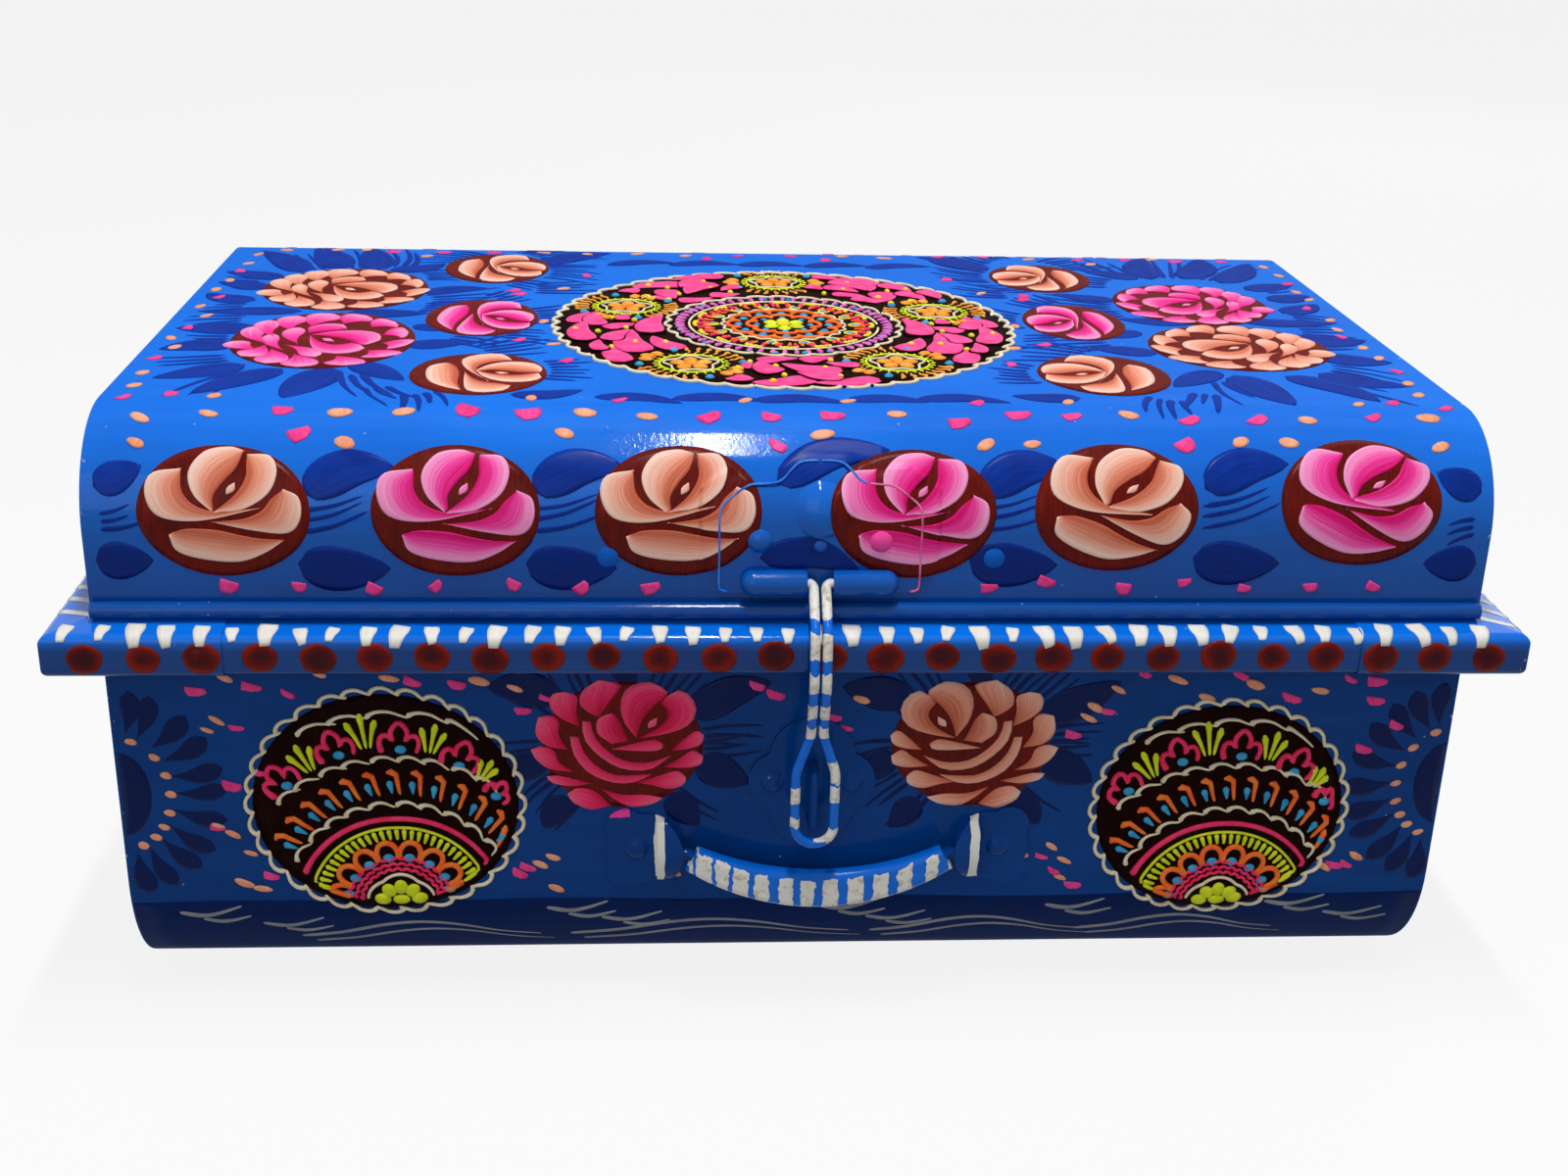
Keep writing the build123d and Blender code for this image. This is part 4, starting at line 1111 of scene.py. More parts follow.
def beads_round(coat, centre, reach, copies, paint, width, points, turn_spread=0.0, first_angle=0.0,
                sweep=360, **look):
    """One piped stroke, repeated round a circle."""
    repeated(coat, lambda c: c.bead(points, width, paint, **look), paint, copies, start=centre,
             radii=(reach, reach), first_angle=first_angle, sweep=sweep, turn_spread=turn_spread)


def dots_round(coat, centre, reach, copies, paint, radius, shift_spread=0.0):
    repeated(coat, lambda c: c.dot((0, 0), radius, paint), paint, copies, start=centre,
             radii=(reach, reach), sweep=360, shift_spread=shift_spread)


# ---- lid ----
# Half of the hasp plate's outline from its lower corner: how far across from its middle, and v.
PLATE_EDGE = [(34, 10.4), (36.9, 11.0), (38, 13.2), (38, 26), (38, 40), (36.8, 44.2), (33.5, 47.2),
              (29.5, 50.2), (26, 51.8), (22, 52.0), (17.6, 52.4), (14.4, 53.8), (11.2, 57.3),
              (8.2, 60.0), (4, 60.8), (0, 60.8)]


def paint_lid_front(discs, petals, leaves, accents):
    """A row of six roses with navy leaves between them, and dabs above and below."""
    places = [(-213.5, 41.2, "peach", 0), (-128.9, 41.4, "pink", 0), (-46.6, 41.8, "peach", 3),
              (41.4, 41.2, "pink", -3), (118.6, 43.8, "peach", -19), (213.2, 46.4, "pink", -24)]
    for u, v, paint, turn in places:
        rose(discs, petals, (u, v), (31.2, 25.2), paint, turn, count=34, wide=16)
    for u, high, low in ((-171.5, 52.0, 22.0), (-87.5, 53.0, 22.5), (79.5, 53.5, 24.0), (165.5, 55.0, 25.0)):
        front_leaf(leaves, (u - 13, high - 4), (u + 20, high + 6), 16.5)
        front_leaf(leaves, (u - 16, low - 1), (u + 18, low - 3), 18.0, -0.04)
        for off in (-4.0, 0.5, 4.5):
            stroke_bundle(leaves, (u - 14, (high + low) / 2 + off), hand.uniform(-5, 5), 30, 1)
    front_leaf(leaves, (-10, 52), (33, 66), 15.0)
    front_leaf(leaves, (-16, 24), (22, 19), 13.0)
    for side in (-1, 1):
        front_leaf(leaves, (side * 260, 50), (side * 243, 58), 13.0, 0)
        front_leaf(leaves, (side * 261, 22), (side * 240, 22), 15.0, 0)
        stroke_bundle(leaves, (side * 258, 37), 0 if side < 0 else 180, 15, 3)
    # Lighter beads along the hasp plate's outline: a bead of paint whose light tone is a painted highlight of
    # the plate's edge.
    for side, part, paint in ((-1, slice(None), "edge_blue"), (1, slice(11), "edge_pink"),
                              (1, slice(10, None), "edge_blue")):
        edge = [(lock_x + side * across, v) for across, v in PLATE_EDGE[part]]
        accents.bead(edge, 0.9, paint, 0.3, head=1.0, tail=1.0, count=60, layer=layer_top)
    low = scattered((-226, -46), (10.5, 12.5), 7, 3.3, 1.0) + scattered((58, 236), (11.0, 14.0), 7, 3.3, 1.0)
    dabs(accents, low)


# Leaves round the left cluster of roses on the lid's top: root, tip and width.
TOP_LEAVES = [
    ((-224, 306), (-250, 350), 18), ((-207, 313), (-226, 361), 19), ((-190, 313), (-198, 361), 17),
    ((-183, 311), (-158, 329), 15), ((-231, 290), (-259, 305), 15), ((-236, 271), (-259, 282), 16),
    ((-236, 247), (-259, 263), 15), ((-162, 267), (-134, 278), 13), ((-192, 229), (-156, 230), 15),
    ((-226, 200), (-259, 199), 19), ((-228, 171), (-259, 162), 18), ((-220, 144), (-252, 123), 17),
    ((-204, 137), (-232, 100), 17), ((-184, 138), (-196, 95), 20), ((-178, 146), (-154, 122), 15),
    ((-159, 173), (-132, 181), 15), ((-160, 209), (-145, 197), 11), ((-112, 330), (-82, 352), 17),
    ((-212, 229), (-256, 226), 14), ((-112, 104), (-84, 108), 12), ((-106, 345), (-78, 356), 12),
]
# Bundles of thin strokes round the same cluster: root, angle, length and count.
TOP_BUNDLES = [
    ((-218, 309), 114, 52, 2), ((-199, 314), 98, 50, 3), ((-178, 318), 72, 40, 2), ((-166, 302), 22, 24, 4),
    ((-146, 340), 146, 30, 5), ((-118, 348), 40, 32, 5), ((-107, 314), 4, 26, 6), ((-122, 290), -30, 20, 3),
    ((-158, 254), 12, 40, 4), ((-160, 240), -6, 30, 3), ((-128, 256), 34, 20, 4), ((-108, 226), 6, 18, 6),
    ((-142, 190), -10, 34, 4), ((-128, 168), 24, 34, 5), ((-98, 138), 2, 20, 6), ((-164, 112), 284, 24, 2),
    ((-146, 104), 296, 20, 3), ((-240, 290), 168, 18, 2), ((-238, 238), 178, 20, 2),
    ((-234, 214), 182, 24, 3), ((-234, 186), 184, 22, 2), ((-228, 152), 200, 30, 2),
    ((-216, 132), 228, 44, 2), ((-176, 130), 278, 36, 2), ((-120, 192), 8, 22, 4), ((-112, 278), 8, 30, 4),
]


def paint_lid_top(discs, petals, leaves, accents):
    """Clusters of roses left and right, with broad navy leaves, thin strokes and loose dabs."""
    big = [(-198.5, 272.5, "peach", (37.9, 41.0)), (-194.7, 181.6, "pink", (38.2, 45.0)),
           (196.0, 260.0, "pink", (36.0, 39.0)), (197.3, 182.4, "peach", (38.8, 38.0))]
    small = [(-132.2, 318.8, "peach", (25.0, 31.0), -84), (-131.5, 221.5, "pink", (24.5, 32.0), -90),
             (-125.8, 131.5, "peach", (27.0, 30.0), -72), (133.5, 310.5, "peach", (24.6, 29.0), 84),
             (133.2, 224.0, "pink", (22.8, 31.7), 88), (128.6, 137.4, "peach", (27.0, 30.0), 74)]
    for u, v, paint, radii in big:
        round_rose(discs, petals, (u, v), radii, paint, -1 if u > 0 else 1)
    for u, v, paint, radii, turn in small:
        rose(discs, petals, (u, v), radii, paint, turn, -1 if u > 0 else 1)
    for side in (1, -1):
        for root, tip, width in TOP_LEAVES:
            root, tip = [(side * u + hand.uniform(-1, 1), v + hand.uniform(-2, 2)) for u, v in (root, tip)]
            front_leaf(leaves, root, tip, width, hand.uniform(-0.14, 0.14))
        for root, angle, length, count in TOP_BUNDLES:
            angle = angle if side > 0 else 180 - angle
            stroke_bundle(leaves, (side * root[0], root[1]), angle, length, count + 1, 4.2,
                          hand.uniform(-0.3, 0.3), 3.6)
    for u in range(-64, 65, 32):
        for v, bend_up in ((100.0, -1), (329.0, 1)):
            away = abs(u) / 64
            root = (u - 15 + hand.uniform(-3, 3), v + bend_up * (1 - away) * 3)
            front_leaf(leaves, root, (u + 19, v + bend_up * 5 + hand.uniform(-2, 2)), 11.0)
    tops = (-213, -129, -47, 41, 119, 213)
    band = [spot for spot in scattered((-256, 256), (67, 73), 26, 4.0, 0.45)
            if min(abs(spot[0] - u) for u in tops) > 25]
    band += scattered((-256, 256), (79, 86), 22, 4.4, 0.6)
    band += scattered((-250, 250), (352, 358), 20, 3.6, 0.5)
    for side in (-1, 1):
        for k in range(15):
            paint = "peach_dab" if k % 3 else "pink_dab"
            u = side * hand.uniform(250, 258)
            band.append((u, 96 + 17.5 * k + hand.uniform(-3, 3), paint, 3.6, hand.uniform(40, 120)))
        for u, v, paint in ((99, 278, "peach_dab"), (121, 273, "pink_dab"), (118, 266, "pink_dab"),
                            (111, 184, "pink_dab"), (97, 178, "peach_dab"), (92, 152, "pink_dab"),
                            (88, 306, "pink_dab"), (104, 98, "peach_dab"), (70, 96, "pink_dab"),
                            (168, 344, "peach_dab"), (201, 357, "peach_dab"), (20, 97, "peach_dab"),
                            (30, 346, "pink_dab"), (238, 100, "pink_dab"), (222, 98, "peach_dab"),
                            (168, 366, "pink_dab"), (106, 216, "peach_dab")):
            band.append((side * u + hand.uniform(-2, 2), v, paint, 3.6, hand.uniform(20, 100)))
    dabs(accents, band)


# Magenta petals between two rosettes of the wheel: reach and angle of the head, the same of the tail,
# and the width. Angles are from the middle of the gap.
WHEEL_SPRAYS = [
    [(92, -15, 88, -25, 6.9), (81, -12, 84, -26, 8.3), (91, 3, 87, -14, 9.6), (61, 1, 55, -24, 10.6),
     (79, -9, 64, -13, 7.6), (79, 19, 68, -3, 12.6), (82, 5, 70, -4, 8.4), (92, 13, 87, 5, 6.3),
     (94, 23, 80, 8, 9.4), (63, 24, 62, 6, 9.2), (81, 27, 80, 17, 7.0), (71, -17, 70, -24, 5.7)],
    [(63, -15, 57, 0, 7.9), (62, 3, 58, 16, 8.0), (80, -7, 66, -14, 9.8), (80, 13, 68, -4, 11.0),
     (86, 3, 93, -12, 10.6), (87, -15, 93, -20, 7.6), (93, 20, 94, 4, 9.2), (90, 11, 80, 0, 7.0),
     (93, -3, 95, -12, 5.9), (74, -15, 67, -19, 6.0), (72, 22, 66, 12, 6.5)],
    [(94, 16, 89, -1, 11.0), (93, 2, 90, -10, 8.8), (94, -12, 91, -22, 8.0), (86, 17, 77, 2, 10.0),
     (80, -3, 64, -12, 11.0), (84, -8, 84, -20, 8.0), (88, 6, 78, 0, 6.4), (73, 17, 71, 3, 8.0),
     (64, 11, 66, -4, 7.1), (61, 0, 61, -13, 8.0), (94, 24, 90, 14, 6.4), (72, 24, 68, 17, 6.4)],
]
SPRAY_DOTS = [(83, -5), (86, 11), (73, 9), (70, -8), (62, 14), (76, -20), (92, -8), (66, -18)]
ROSETTE_ANGLES = (20.2, 90.0, 156.6, 237.3, 305.7)
rosette_room = 15.0         # no spray's head is closer than this to the middle of a rosette
wheel_centre, wheel_radius = (1.3, 213.6), 100.0
even_gap = 72               # degrees from one rosette to the next, if all were even
petal_step = 0.24           # four neighbouring petals lie at four heights, so that none cuts another


def rosette(coat, centre, turn):
    """A small piped flower: five petals, a scalloped line, a toothed ring, and tufts round it."""
    coat.dot(centre, 2.5, "amber", 0.7)
    for angle in range(0, 360, 72):
        drop(coat, on_circle(centre, 5.6, turn + angle), (3.4, 2.9), "amber", 1.1, turn + angle)
    wavy_ring(coat, centre, 10.4, 1.5, 1.2, 6, 30, turn, 44)
    ring(coat, centre, 13.2, 1.2, "lime", count=36)
    beads_round(coat, centre, 14.6, 26, "lime", 1.2, [(-1.3, 0), (1.8, 0.2)], 6, count=4)
    wavy = [(4.2, -0.6), (2.0, 0.8), (-0.4, -0.6), (-3.2, 0.3)]
    for side in (turn, turn + 180):
        beads_round(coat, centre, 19.6, 7, "amber", 1.4, wavy, 10, side - 36, 84, head=1.5, tail=0.6, count=8)
    for side in (turn + 90, turn - 90):
        for off, reach in ((-13, 20.0), (0, 21.6), (13, 20.0)):
            place = on_circle(centre, reach, side + off)
            drop(coat, place, (3.0, 2.4), "amber", 1.0, side + off)
            coat.bead([place, on_circle(centre, 16.2, side + off * 0.6)], 1.2, "amber", count=5)
    for off in (52, 128, 232, 308):
        coat.dot(on_circle(centre, 21.4, turn + off), 1.9, "sky", 0.7)


def wheel_hub(relief, centre):
    """Rings of piped strokes and dots, from the hub's border to the flower in its middle."""
    border(relief, centre, (51.0, 51.0), 27, 1.7)
    beads_round(relief, centre, 46.0, 58, "violet", 2.2, [(2.6, 0), (0, 0.3), (-2.8, 0)], 5, head=1.2)
    dots_round(relief, centre, 46.8, 26, "sky", 1.4, 0.7)
    ring(relief, centre, 41.8, 1.3, "cream")
    tuft = [(-1.6, -3.6), (1.0, -3.2), (0.2, -1.2), (1.6, 0), (0.2, 1.2), (1.0, 3.2), (-1.6, 3.6)]
    beads_round(relief, centre, 38.6, 16, "yellow", 1.8, tuft, 5, count=14)
    stroke = [(3.9, 0.5), (0.6, -0.6), (-3.6, 0.3)]
    beads_round(relief, centre, 35.2, 34, "crimson", 1.9, stroke, 12, head=1.4)
    stroke = [(3.2, -0.6), (0.4, 0.5), (-2.8, -0.2)]
    beads_round(relief, centre, 33.4, 42, "orange", 1.6, stroke, 12, 5, head=1.4)
    loop = [(2.8, 0), (1.2, 2.0), (-1.6, 1.8), (-3.0, 0), (-1.6, -1.8), (1.2, -2.0), (2.6, 0)]
    beads_round(relief, centre, 31.8, 14, "yellow", 1.3, loop, count=14)
    dots_round(relief, centre, 31.4, 14, "sky", 1.5)
    wavy_ring(relief, centre, 27.0, 0.9, 1.3, 3, 66)
    for count, reach, wide, high, radius in ((12, 21.6, 5.4, 3.4, 1.9), (8, 13.4, 4.9, 2.8, 1.5)):
        shoulder, side = high * 0.5, wide * 0.86
        arch = [(-high, -wide), (shoulder, -side), (high, 0), (shoulder, side), (-high, wide)]
        beads_round(relief, centre, reach, count, "orange", 2.2, arch, head=1.0, tail=0.9, count=14)
        dots_round(relief, centre, reach - 1.6, count, "sky", radius)
    for angle in range(30, 390, 60):
        drop(relief, on_circle(centre, 6.4, angle), (3.4, 2.9), "lime", 1.2, angle)
    relief.dot(centre, 2.8, "yellow", 0.8)


def paint_wheel(ground, relief):
    """The large wheel on the lid: a border of curls, magenta sprays, five rosettes and a hub."""
    centre = wheel_centre
    ground.spot(centre, (wheel_radius, wheel_radius), "black", layer_disc, sides=96, rings=8)
    border(relief, centre, (wheel_radius, wheel_radius), 54, 2.0)
    places = [on_circle(centre, reach, angle)
              for angle, reach in zip(ROSETTE_ANGLES, (75.0, 80.5, 76.0, 77.5, 75.0))]
    gaps = list(zip(ROSETTE_ANGLES, (*ROSETTE_ANGLES[1:], ROSETTE_ANGLES[0] + 360)))
    for (first, last), (spray, mirror) in zip(gaps, ((2, 1), (1, -1), (0, 1), (1, 1), (0, -1))):
        middle, grow = (first + last) / 2, (last - first) / even_gap
        for k, (head, head_off, tail, tail_off, width) in enumerate(WHEEL_SPRAYS[spray]):
            ends = [np.array(on_circle(centre, r, middle + mirror * off * grow))
                    for r, off in ((head, head_off), (tail, tail_off))]
            if min(math.dist(ends[0], place) for place in places) <= rosette_room:
                continue
            bow = beside(ends[1] - ends[0]) * 0.12 * mirror
            ends[0] -= (ends[1] - ends[0]) * 0.04
            ends[1] += (ends[1] - ends[0]) * 0.10
            spine = [ends[0], (ends[0] + ends[1]) / 2 + bow, ends[1]]
            layer = layer_petal + petal_step * (k % 4)
            relief.leaf(spine, width * 1.2 + 1.6, "black", layer, 0.5, count=20)
            spine[0] = spine[0] + (spine[1] - spine[0]) * 0.05
            relief.leaf(spine, width * 1.2, "magenta", layer + 0.1, 0.5, count=20, thick=0.14)
        for reach, off in SPRAY_DOTS:
            relief.dot(on_circle(centre, reach, middle + mirror * off * grow), 1.15, "yellow", 0.9,
                       layer_top + 0.3, 1.3, hand.uniform(0, 90))
    for angle, place in zip(ROSETTE_ANGLES, places):
        rosette(relief, place, angle)
    ground.spot(centre, (50.5, 50.5), "black", layer_disc + 0.1, sides=64, rings=4)
    wheel_hub(relief, centre)


# ---- trunk front ----
radian = 57.3               # degrees


def fan(ground, relief, centre, radii):
    """A round fan of piped ornament: bands of arches, hooks and sprigs, over a half flower."""
    ground.spot(centre, (radii[0] * 0.975, radii[1] * 0.975), "black", layer_disc, wobble=0.006, sides=72,
                rings=6)
    border(relief, centre, radii, 32, 1.8, start=95)
    root = (centre[0] + 4.0, centre[1] - 45.0)      # the fan opens from here

    def at(angle, reach):
        """A point by its angle from upright and its distance from the root, kept inside the border."""
        point = np.array(on_oval(root, (reach, reach), 90 - angle))
        off = math.hypot((point[0] - centre[0]) / radii[0], (point[1] - centre[1]) / radii[1])
        return point if off < 0.90 else centre + (point - centre) * 0.90 / off

    def beyond(angle, reach, across, up, grow=1.0):
        """A point so many millimetres across and up from a place on the fan."""
        return at(angle + across / reach * radian * grow, reach + up * grow)

    def band(reach, low, high, count):
        """A line of curls across the fan at one distance from the root."""
        step = (high - low) / count
        for k in range(count):
            a = low + step * (k + hand.uniform(-curl_shake, curl_shake))
            curl = [at(a + step * share, reach + off * 1.7) for share, off in CURL]
            relief.bead(curl, 1.7, "cream", head=1.7, tail=0.45)

    def lobes(angle, reach, grow):
        """Three round lobes over a blue dot."""
        outline = ((-6.2, 0), (-6.8, 4.5), (-5.6, 7.4), (-3.2, 7.0), (-2.3, 5.0), (-2.6, 9.2), (0, 12.6),
                   (2.6, 9.2), (2.3, 5.0), (3.4, 7.2), (5.8, 7.2), (6.8, 4.2), (6.0, 0))
        points = [beyond(angle, reach, across, up, grow) for across, up in outline]
        relief.bead(points, 2.4, "crimson", head=1.3, tail=0.85, count=34)
        drop(relief, at(angle + 0.4, reach + 1.6), (2.3, 1.8), "sky", 0.7, sides=14)

    band(84.0, -27, 24, 5)
    band(64.6, -46, 38, 9)
    band(44.8, -64, 62, 10)
    for angle, reach, grow in ((-38.4, 66.2, 1.0), (-18.0, 68.2, 1.0), (1.8, 67.4, 1.05), (21.6, 65.0, 1.0),
                               (38.5, 60.5, 0.72)):
        lobes(angle, reach, grow)
    for angle, reach, grow in ((-28.2, 66.0, 1.0), (-8.6, 68.5, 1.15), (11.6, 67.0, 1.0), (30.6, 63.0, 0.8)):
        for lean, top in ((-4.4, 12.6), (0.2, 15.0), (4.2, 12.0)):
            head = beyond(angle, reach, lean, top, grow)
            middle = beyond(angle, reach, lean * 0.62, top * 0.55, grow)
            foot = at(angle + lean * 0.30 / reach * radian * grow, reach + 0.8)
            relief.bead([head, middle, foot], 2.3, "lime", head=1.6, tail=0.5)
    for k in range(13):
        a = -56.2 + 9.25 * k
        top = 57.2 + 1.6 * math.cos(math.radians(a - 4) * 2.2)
        hook = ((-3.2, 0.2), (-0.6, 0.6), (1.1, -0.6), (1.5, -3.0), (2.0, -6.4), (3.0, -10.4))
        relief.bead([beyond(a, top, *step) for step in hook], 2.6, "orange", head=1.25, tail=0.5)
        tail = ((-1.9, -3.2), (-1.4, -6.0), (-0.7, -9.6))
        relief.bead([beyond(a, top, *step) for step in tail], 2.3, "sky", head=1.6, tail=0.35)
    relief.bead([at(a, 38.6 + 1.4 * abs(a) / 70) for a in np.linspace(-71, 70, 30)], 2.5, "crimson",
                head=1.3, tail=0.8, count=54)
    relief.bead([at(a, 34.6 + 0.8 * abs(a) / 70) for a in np.linspace(-80, 78, 30)], 1.4, "lime", head=0.9,
                tail=0.9, count=54)
    for k in range(31):
        a = -80 + 5.25 * k
        relief.bead([at(a, 34.2), at(a + 0.5, 31.4), at(a + 0.8, 28.6)], 1.9, "lime", head=1.2, tail=0.6,
                    count=6)
    for k in range(8):
        a = -78 + 22.2 * k
        lobe = [at(a + d, r) for d, r in ((-10.5, 20.4), (-9.6, 24.4), (-5.5, 27.4), (0, 28.3), (5.5, 27.4),
                                          (9.6, 24.4), (10.5, 20.4))]
        relief.bead(lobe, 2.4, "orange", head=1.0, tail=1.0, count=18)
        drop(relief, at(a, 21.2), (2.3, 1.9), "sky", 0.7, sides=14)
    for row, reach in enumerate((19.4, 16.9, 14.6)):
        count = 17 - 2 * row
        for k in range(count):
            a = -82 + 164 * (k + 0.5 * (row % 2)) / (count - 0.5)
            wide = 82 / count
            scale = [at(a - wide, reach), at(a - wide * 0.6, reach + 1.5), at(a + wide * 0.6, reach + 1.5),
                     at(a + wide, reach)]
            relief.bead(scale, 1.45, "crimson", head=1.0, tail=1.0, count=7)
    relief.bead([at(a, 12.2 + 1.3 * abs(math.cos(math.radians(a * 2.6)))) for a in np.linspace(-86, 86, 34)],
                1.5, "cream", head=0.9, tail=0.9, count=48)
    for k in range(5):
        a = -76 + 38 * k
        drop(relief, at(a, 7.6), (3.3, 2.7), "lime", 0.9, 90 - a, 14)
    drop(relief, at(0, 1.6), (3.4, 2.3), "lime", 0.9, sides=16)


def half_flower(leaves, accents, centre, side):
    """Long navy petals that open from the trunk's edge, round an arc of peach dots and a half disc."""
    limit = trunk_half - 1.5

    def at(degrees, radii):
        a = math.radians(degrees)
        return np.array([centre[0] + side * radii[0] * math.cos(a), centre[1] + radii[1] * math.sin(a)])

    rim = [at(a, (11.5, 18.0)) for a in range(-90, 91, 15)]
    spine = [(side * -limit, centre[1] + 18.0 * math.sin(math.radians(a))) for a in range(-90, 91, 15)]
    leaves.petal(spine, rim, "navy", layer_leaf, count=14, wide=5)
    for k in range(11):
        a = -81 + 16.4 * k
        root, tip = at(a, (20.5, 26.0)), at(a + hand.uniform(-3, 3), (41.0, 45.0))
        root[0], tip[0] = np.clip((root[0], tip[0]), -limit + 3.4, limit - 3.4)
        leaves.leaf(bowed(root, tip, -0.07 * side), hand.uniform(7.2, 8.6), "navy", blunt=1.8)
    for a in (-70, -52, -37, -20, 0, 20, 42, 72):
        dabs(accents, [(*at(a, (19.0, 24.0)), "peach_dab", 2.3, -20 * side)])


def front_leaf(coat, root, tip, width, curve_by=0.12):
    """A broad navy leaf with a soft bend."""
    spine = bowed(np.array(root, float), np.array(tip, float), curve_by)
    coat.leaf(spine, width, "navy", blunt=leaf_blunt)


def leaf_pair(coat, u, reach, heights):
    """Two level leaves, one above the other, that rise and fall a little."""
    for v, rise in zip(heights, (4.0, -3.0)):
        spine = [(u - reach, v - rise), (u, v), (u + reach + 1, v + rise)]
        coat.leaf(spine, 13.0, "navy", blunt=leaf_blunt)


def stroke_bundle(coat, root, angle, length, count, spread=3.0, bend_by=0.18, width=2.0):
    """Thin strokes that spread like a tuft of grass, each of its own length."""
    for k in range(count):
        a = math.radians(angle + 5.0 * (k - (count - 1) / 2) + hand.uniform(-3, 3))
        forward, side = np.array([math.cos(a), math.sin(a)]), np.array([-math.sin(a), math.cos(a)])
        start = np.array(root, float) + side * spread * (k - (count - 1) / 2)
        reach = length * hand.uniform(0.65, 1.1)
        middle = start + forward * reach * 0.5 + side * reach * bend_by * 0.5
        end = start + forward * reach + side * reach * bend_by * 1.6
        coat.bead([start, middle, end], width * hand.uniform(0.8, 1.2), "navy", tall=0.03, head=0.9,
                  tail=0.35, layer=layer_leaf, count=9)


def shade_band_with_waves(coat, accents):
    """A dark band of painted shade over the bend at the trunk's foot, with pairs of long grey waves and tufts
    between them.
    """
    edge = trunk_half - 0.8
    foot, top = 14.0, body_v(46.0)
    rows = [[(u, foot + (top + 0.6 * math.sin(u * 0.05) - foot) * share) for share in np.linspace(0, 1, 34)]
            for u in np.linspace(-edge, edge, 50)]
    # The dark band is painted shade where the foot bends under; the grey waves on it are real ornament.
    coat.patch(rows, "painted_shade_band", 0.05, 0.04)
    wave = [(-46, 54.5), (-30, 57.5), (-14, 63), (0, 65), (14, 63), (30, 57.5), (46, 54.5)]
    for middle, grow in ((-150, 1.1), (-32, 1.3), (78, 1.0), (162, 0.95)):
        for shift, size in ((0.0, 2.8), (5.2, 2.3)):
            line = [(middle + u * grow + shift, v - shift) for u, v in wave]
            accents.bead(line, size, "grey", tall=0.04, head=0.6, tail=0.3, layer=layer_leaf, count=34)
    for root, lift in ((-246, 0), (-214, -7), (-100, 1), (-78, -5), (10, 1), (30, -6), (104, 0), (196, 1),
                       (222, -6)):
        for start, reach, rise in ((0, 27, 3.5), (9, 21, 1.5)):
            first = (root + start, 72.5 + lift - start * 0.42)
            tuft = [first, (first[0] + reach * 0.45, first[1] - 2.0), (first[0] + reach, first[1] + rise)]
            accents.bead(tuft, 3.2, "grey", tall=0.04, head=0.55, tail=0.3, layer=layer_leaf, count=14)


# Round a full rose of the trunk: leaves, by root, tip and width, and bundles, by angle and count.
FACE_LEAVES = [((27, 12), (58, 27), 15), ((29, -7), (50, -17), 15), ((18, -22), (30, -36), 13),
               ((-25, 20), (-52, 25), 15), ((-29, -6), (-50, -14), 13), ((-20, -24), (-31, -37), 12),
               ((-1, 27), (6, 35), 11)]
FACE_BUNDLES = [(38, 4), (62, 4), (8, 3), (-4, 3), (-48, 2), (142, 4), (118, 3), (186, 4), (214, 3),
                (238, 2)]
# Groups of dabs between the motifs: u of the middle, lowest and highest z, and count.
FACE_TOUCHES = [(-222, 118, 134, 3), (-214, 92, 112, 2), (-222, 62, 84, 4), (-212, 50, 62, 3),
                (-100, 50, 66, 5), (-104, 124, 136, 2), (-14, 118, 142, 2), (22, 108, 140, 3),
                (108, 50, 66, 5), (118, 112, 138, 4), (226, 58, 74, 4), (232, 112, 134, 3),
                (98, 60, 78, 2), (-54, 56, 62, 2)]


def paint_trunk_face(sheet, name):
    """Front or back of the trunk: two fans, two full roses, leaves, end flowers, and a dark band of painted
    shade at its foot.
    """
    ground, relief = Coat(sheet), Coat(sheet)
    discs, petals, leaves, accents = coats = rose_coats(sheet)
    shade_band_with_waves(ground, accents)
    fan(ground, relief, (-160.5, body_v(90.2)), (52.9, 48.9))
    fan(ground, relief, (172.4, body_v(85.6)), (51.5, 47.8))
    for u, v, paint, mirror in ((-68.0, 115.6, "rose", 1), (69.4, 115.4, "peach", -1)):
        middle = (u, body_v(v))
        full_rose(discs, petals, middle, (32.6, 28.3), paint, 0.0, mirror)
        for root, tip, width in FACE_LEAVES:
            root, tip = np.array(middle) + root, np.array(middle) + tip
            front_leaf(leaves, root, tip, width, hand.uniform(-0.1, 0.1))
        for angle, count in FACE_BUNDLES:
            root = on_oval(middle, (31, 26), angle)
            reach = 20 if 30 < angle < 150 else 24
            stroke_bundle(leaves, root, angle, reach, count, 3.0, hand.uniform(-0.15, 0.15))
    half_flower(leaves, accents, (-262.0, body_v(95.0)), 1)
    half_flower(leaves, accents, (263.0, body_v(97.0)), -1)
    places = [((-236, -104), 137, 149, 11, 3.8), ((120, 236), 134, 148, 10, 3.8)]
    places += [((u - 9, u + 9), low, high, count, 3.5) for u, low, high, count in FACE_TOUCHES]
    touches = []
    for u_span, low, high, count, size in places:
        touches += scattered(u_span, (body_v(low), body_v(high)), count, size, 0.5, (-34, -8))
    dabs(accents, touches, flat=0.66)
    lay_coats([ground, relief, *coats], f"trunk_{name}", "trunk", ("grounds", "piping", *ROSE_PARTS))


# ---- ledge ----
dab_pitch, oval_pitch, oval_z = 12.1, 21.2, 160.6


def drop_stroke(coat):
    """A white dab that narrows downward."""
    coat.petal([(-2.9, 4.0), (-3.1, 0.0), (-1.5, -6.6)], [(2.7, 3.4), (3.0, 0.2), (1.5, -6.2)], "white",
               layer_disc, count=12, wide=5)


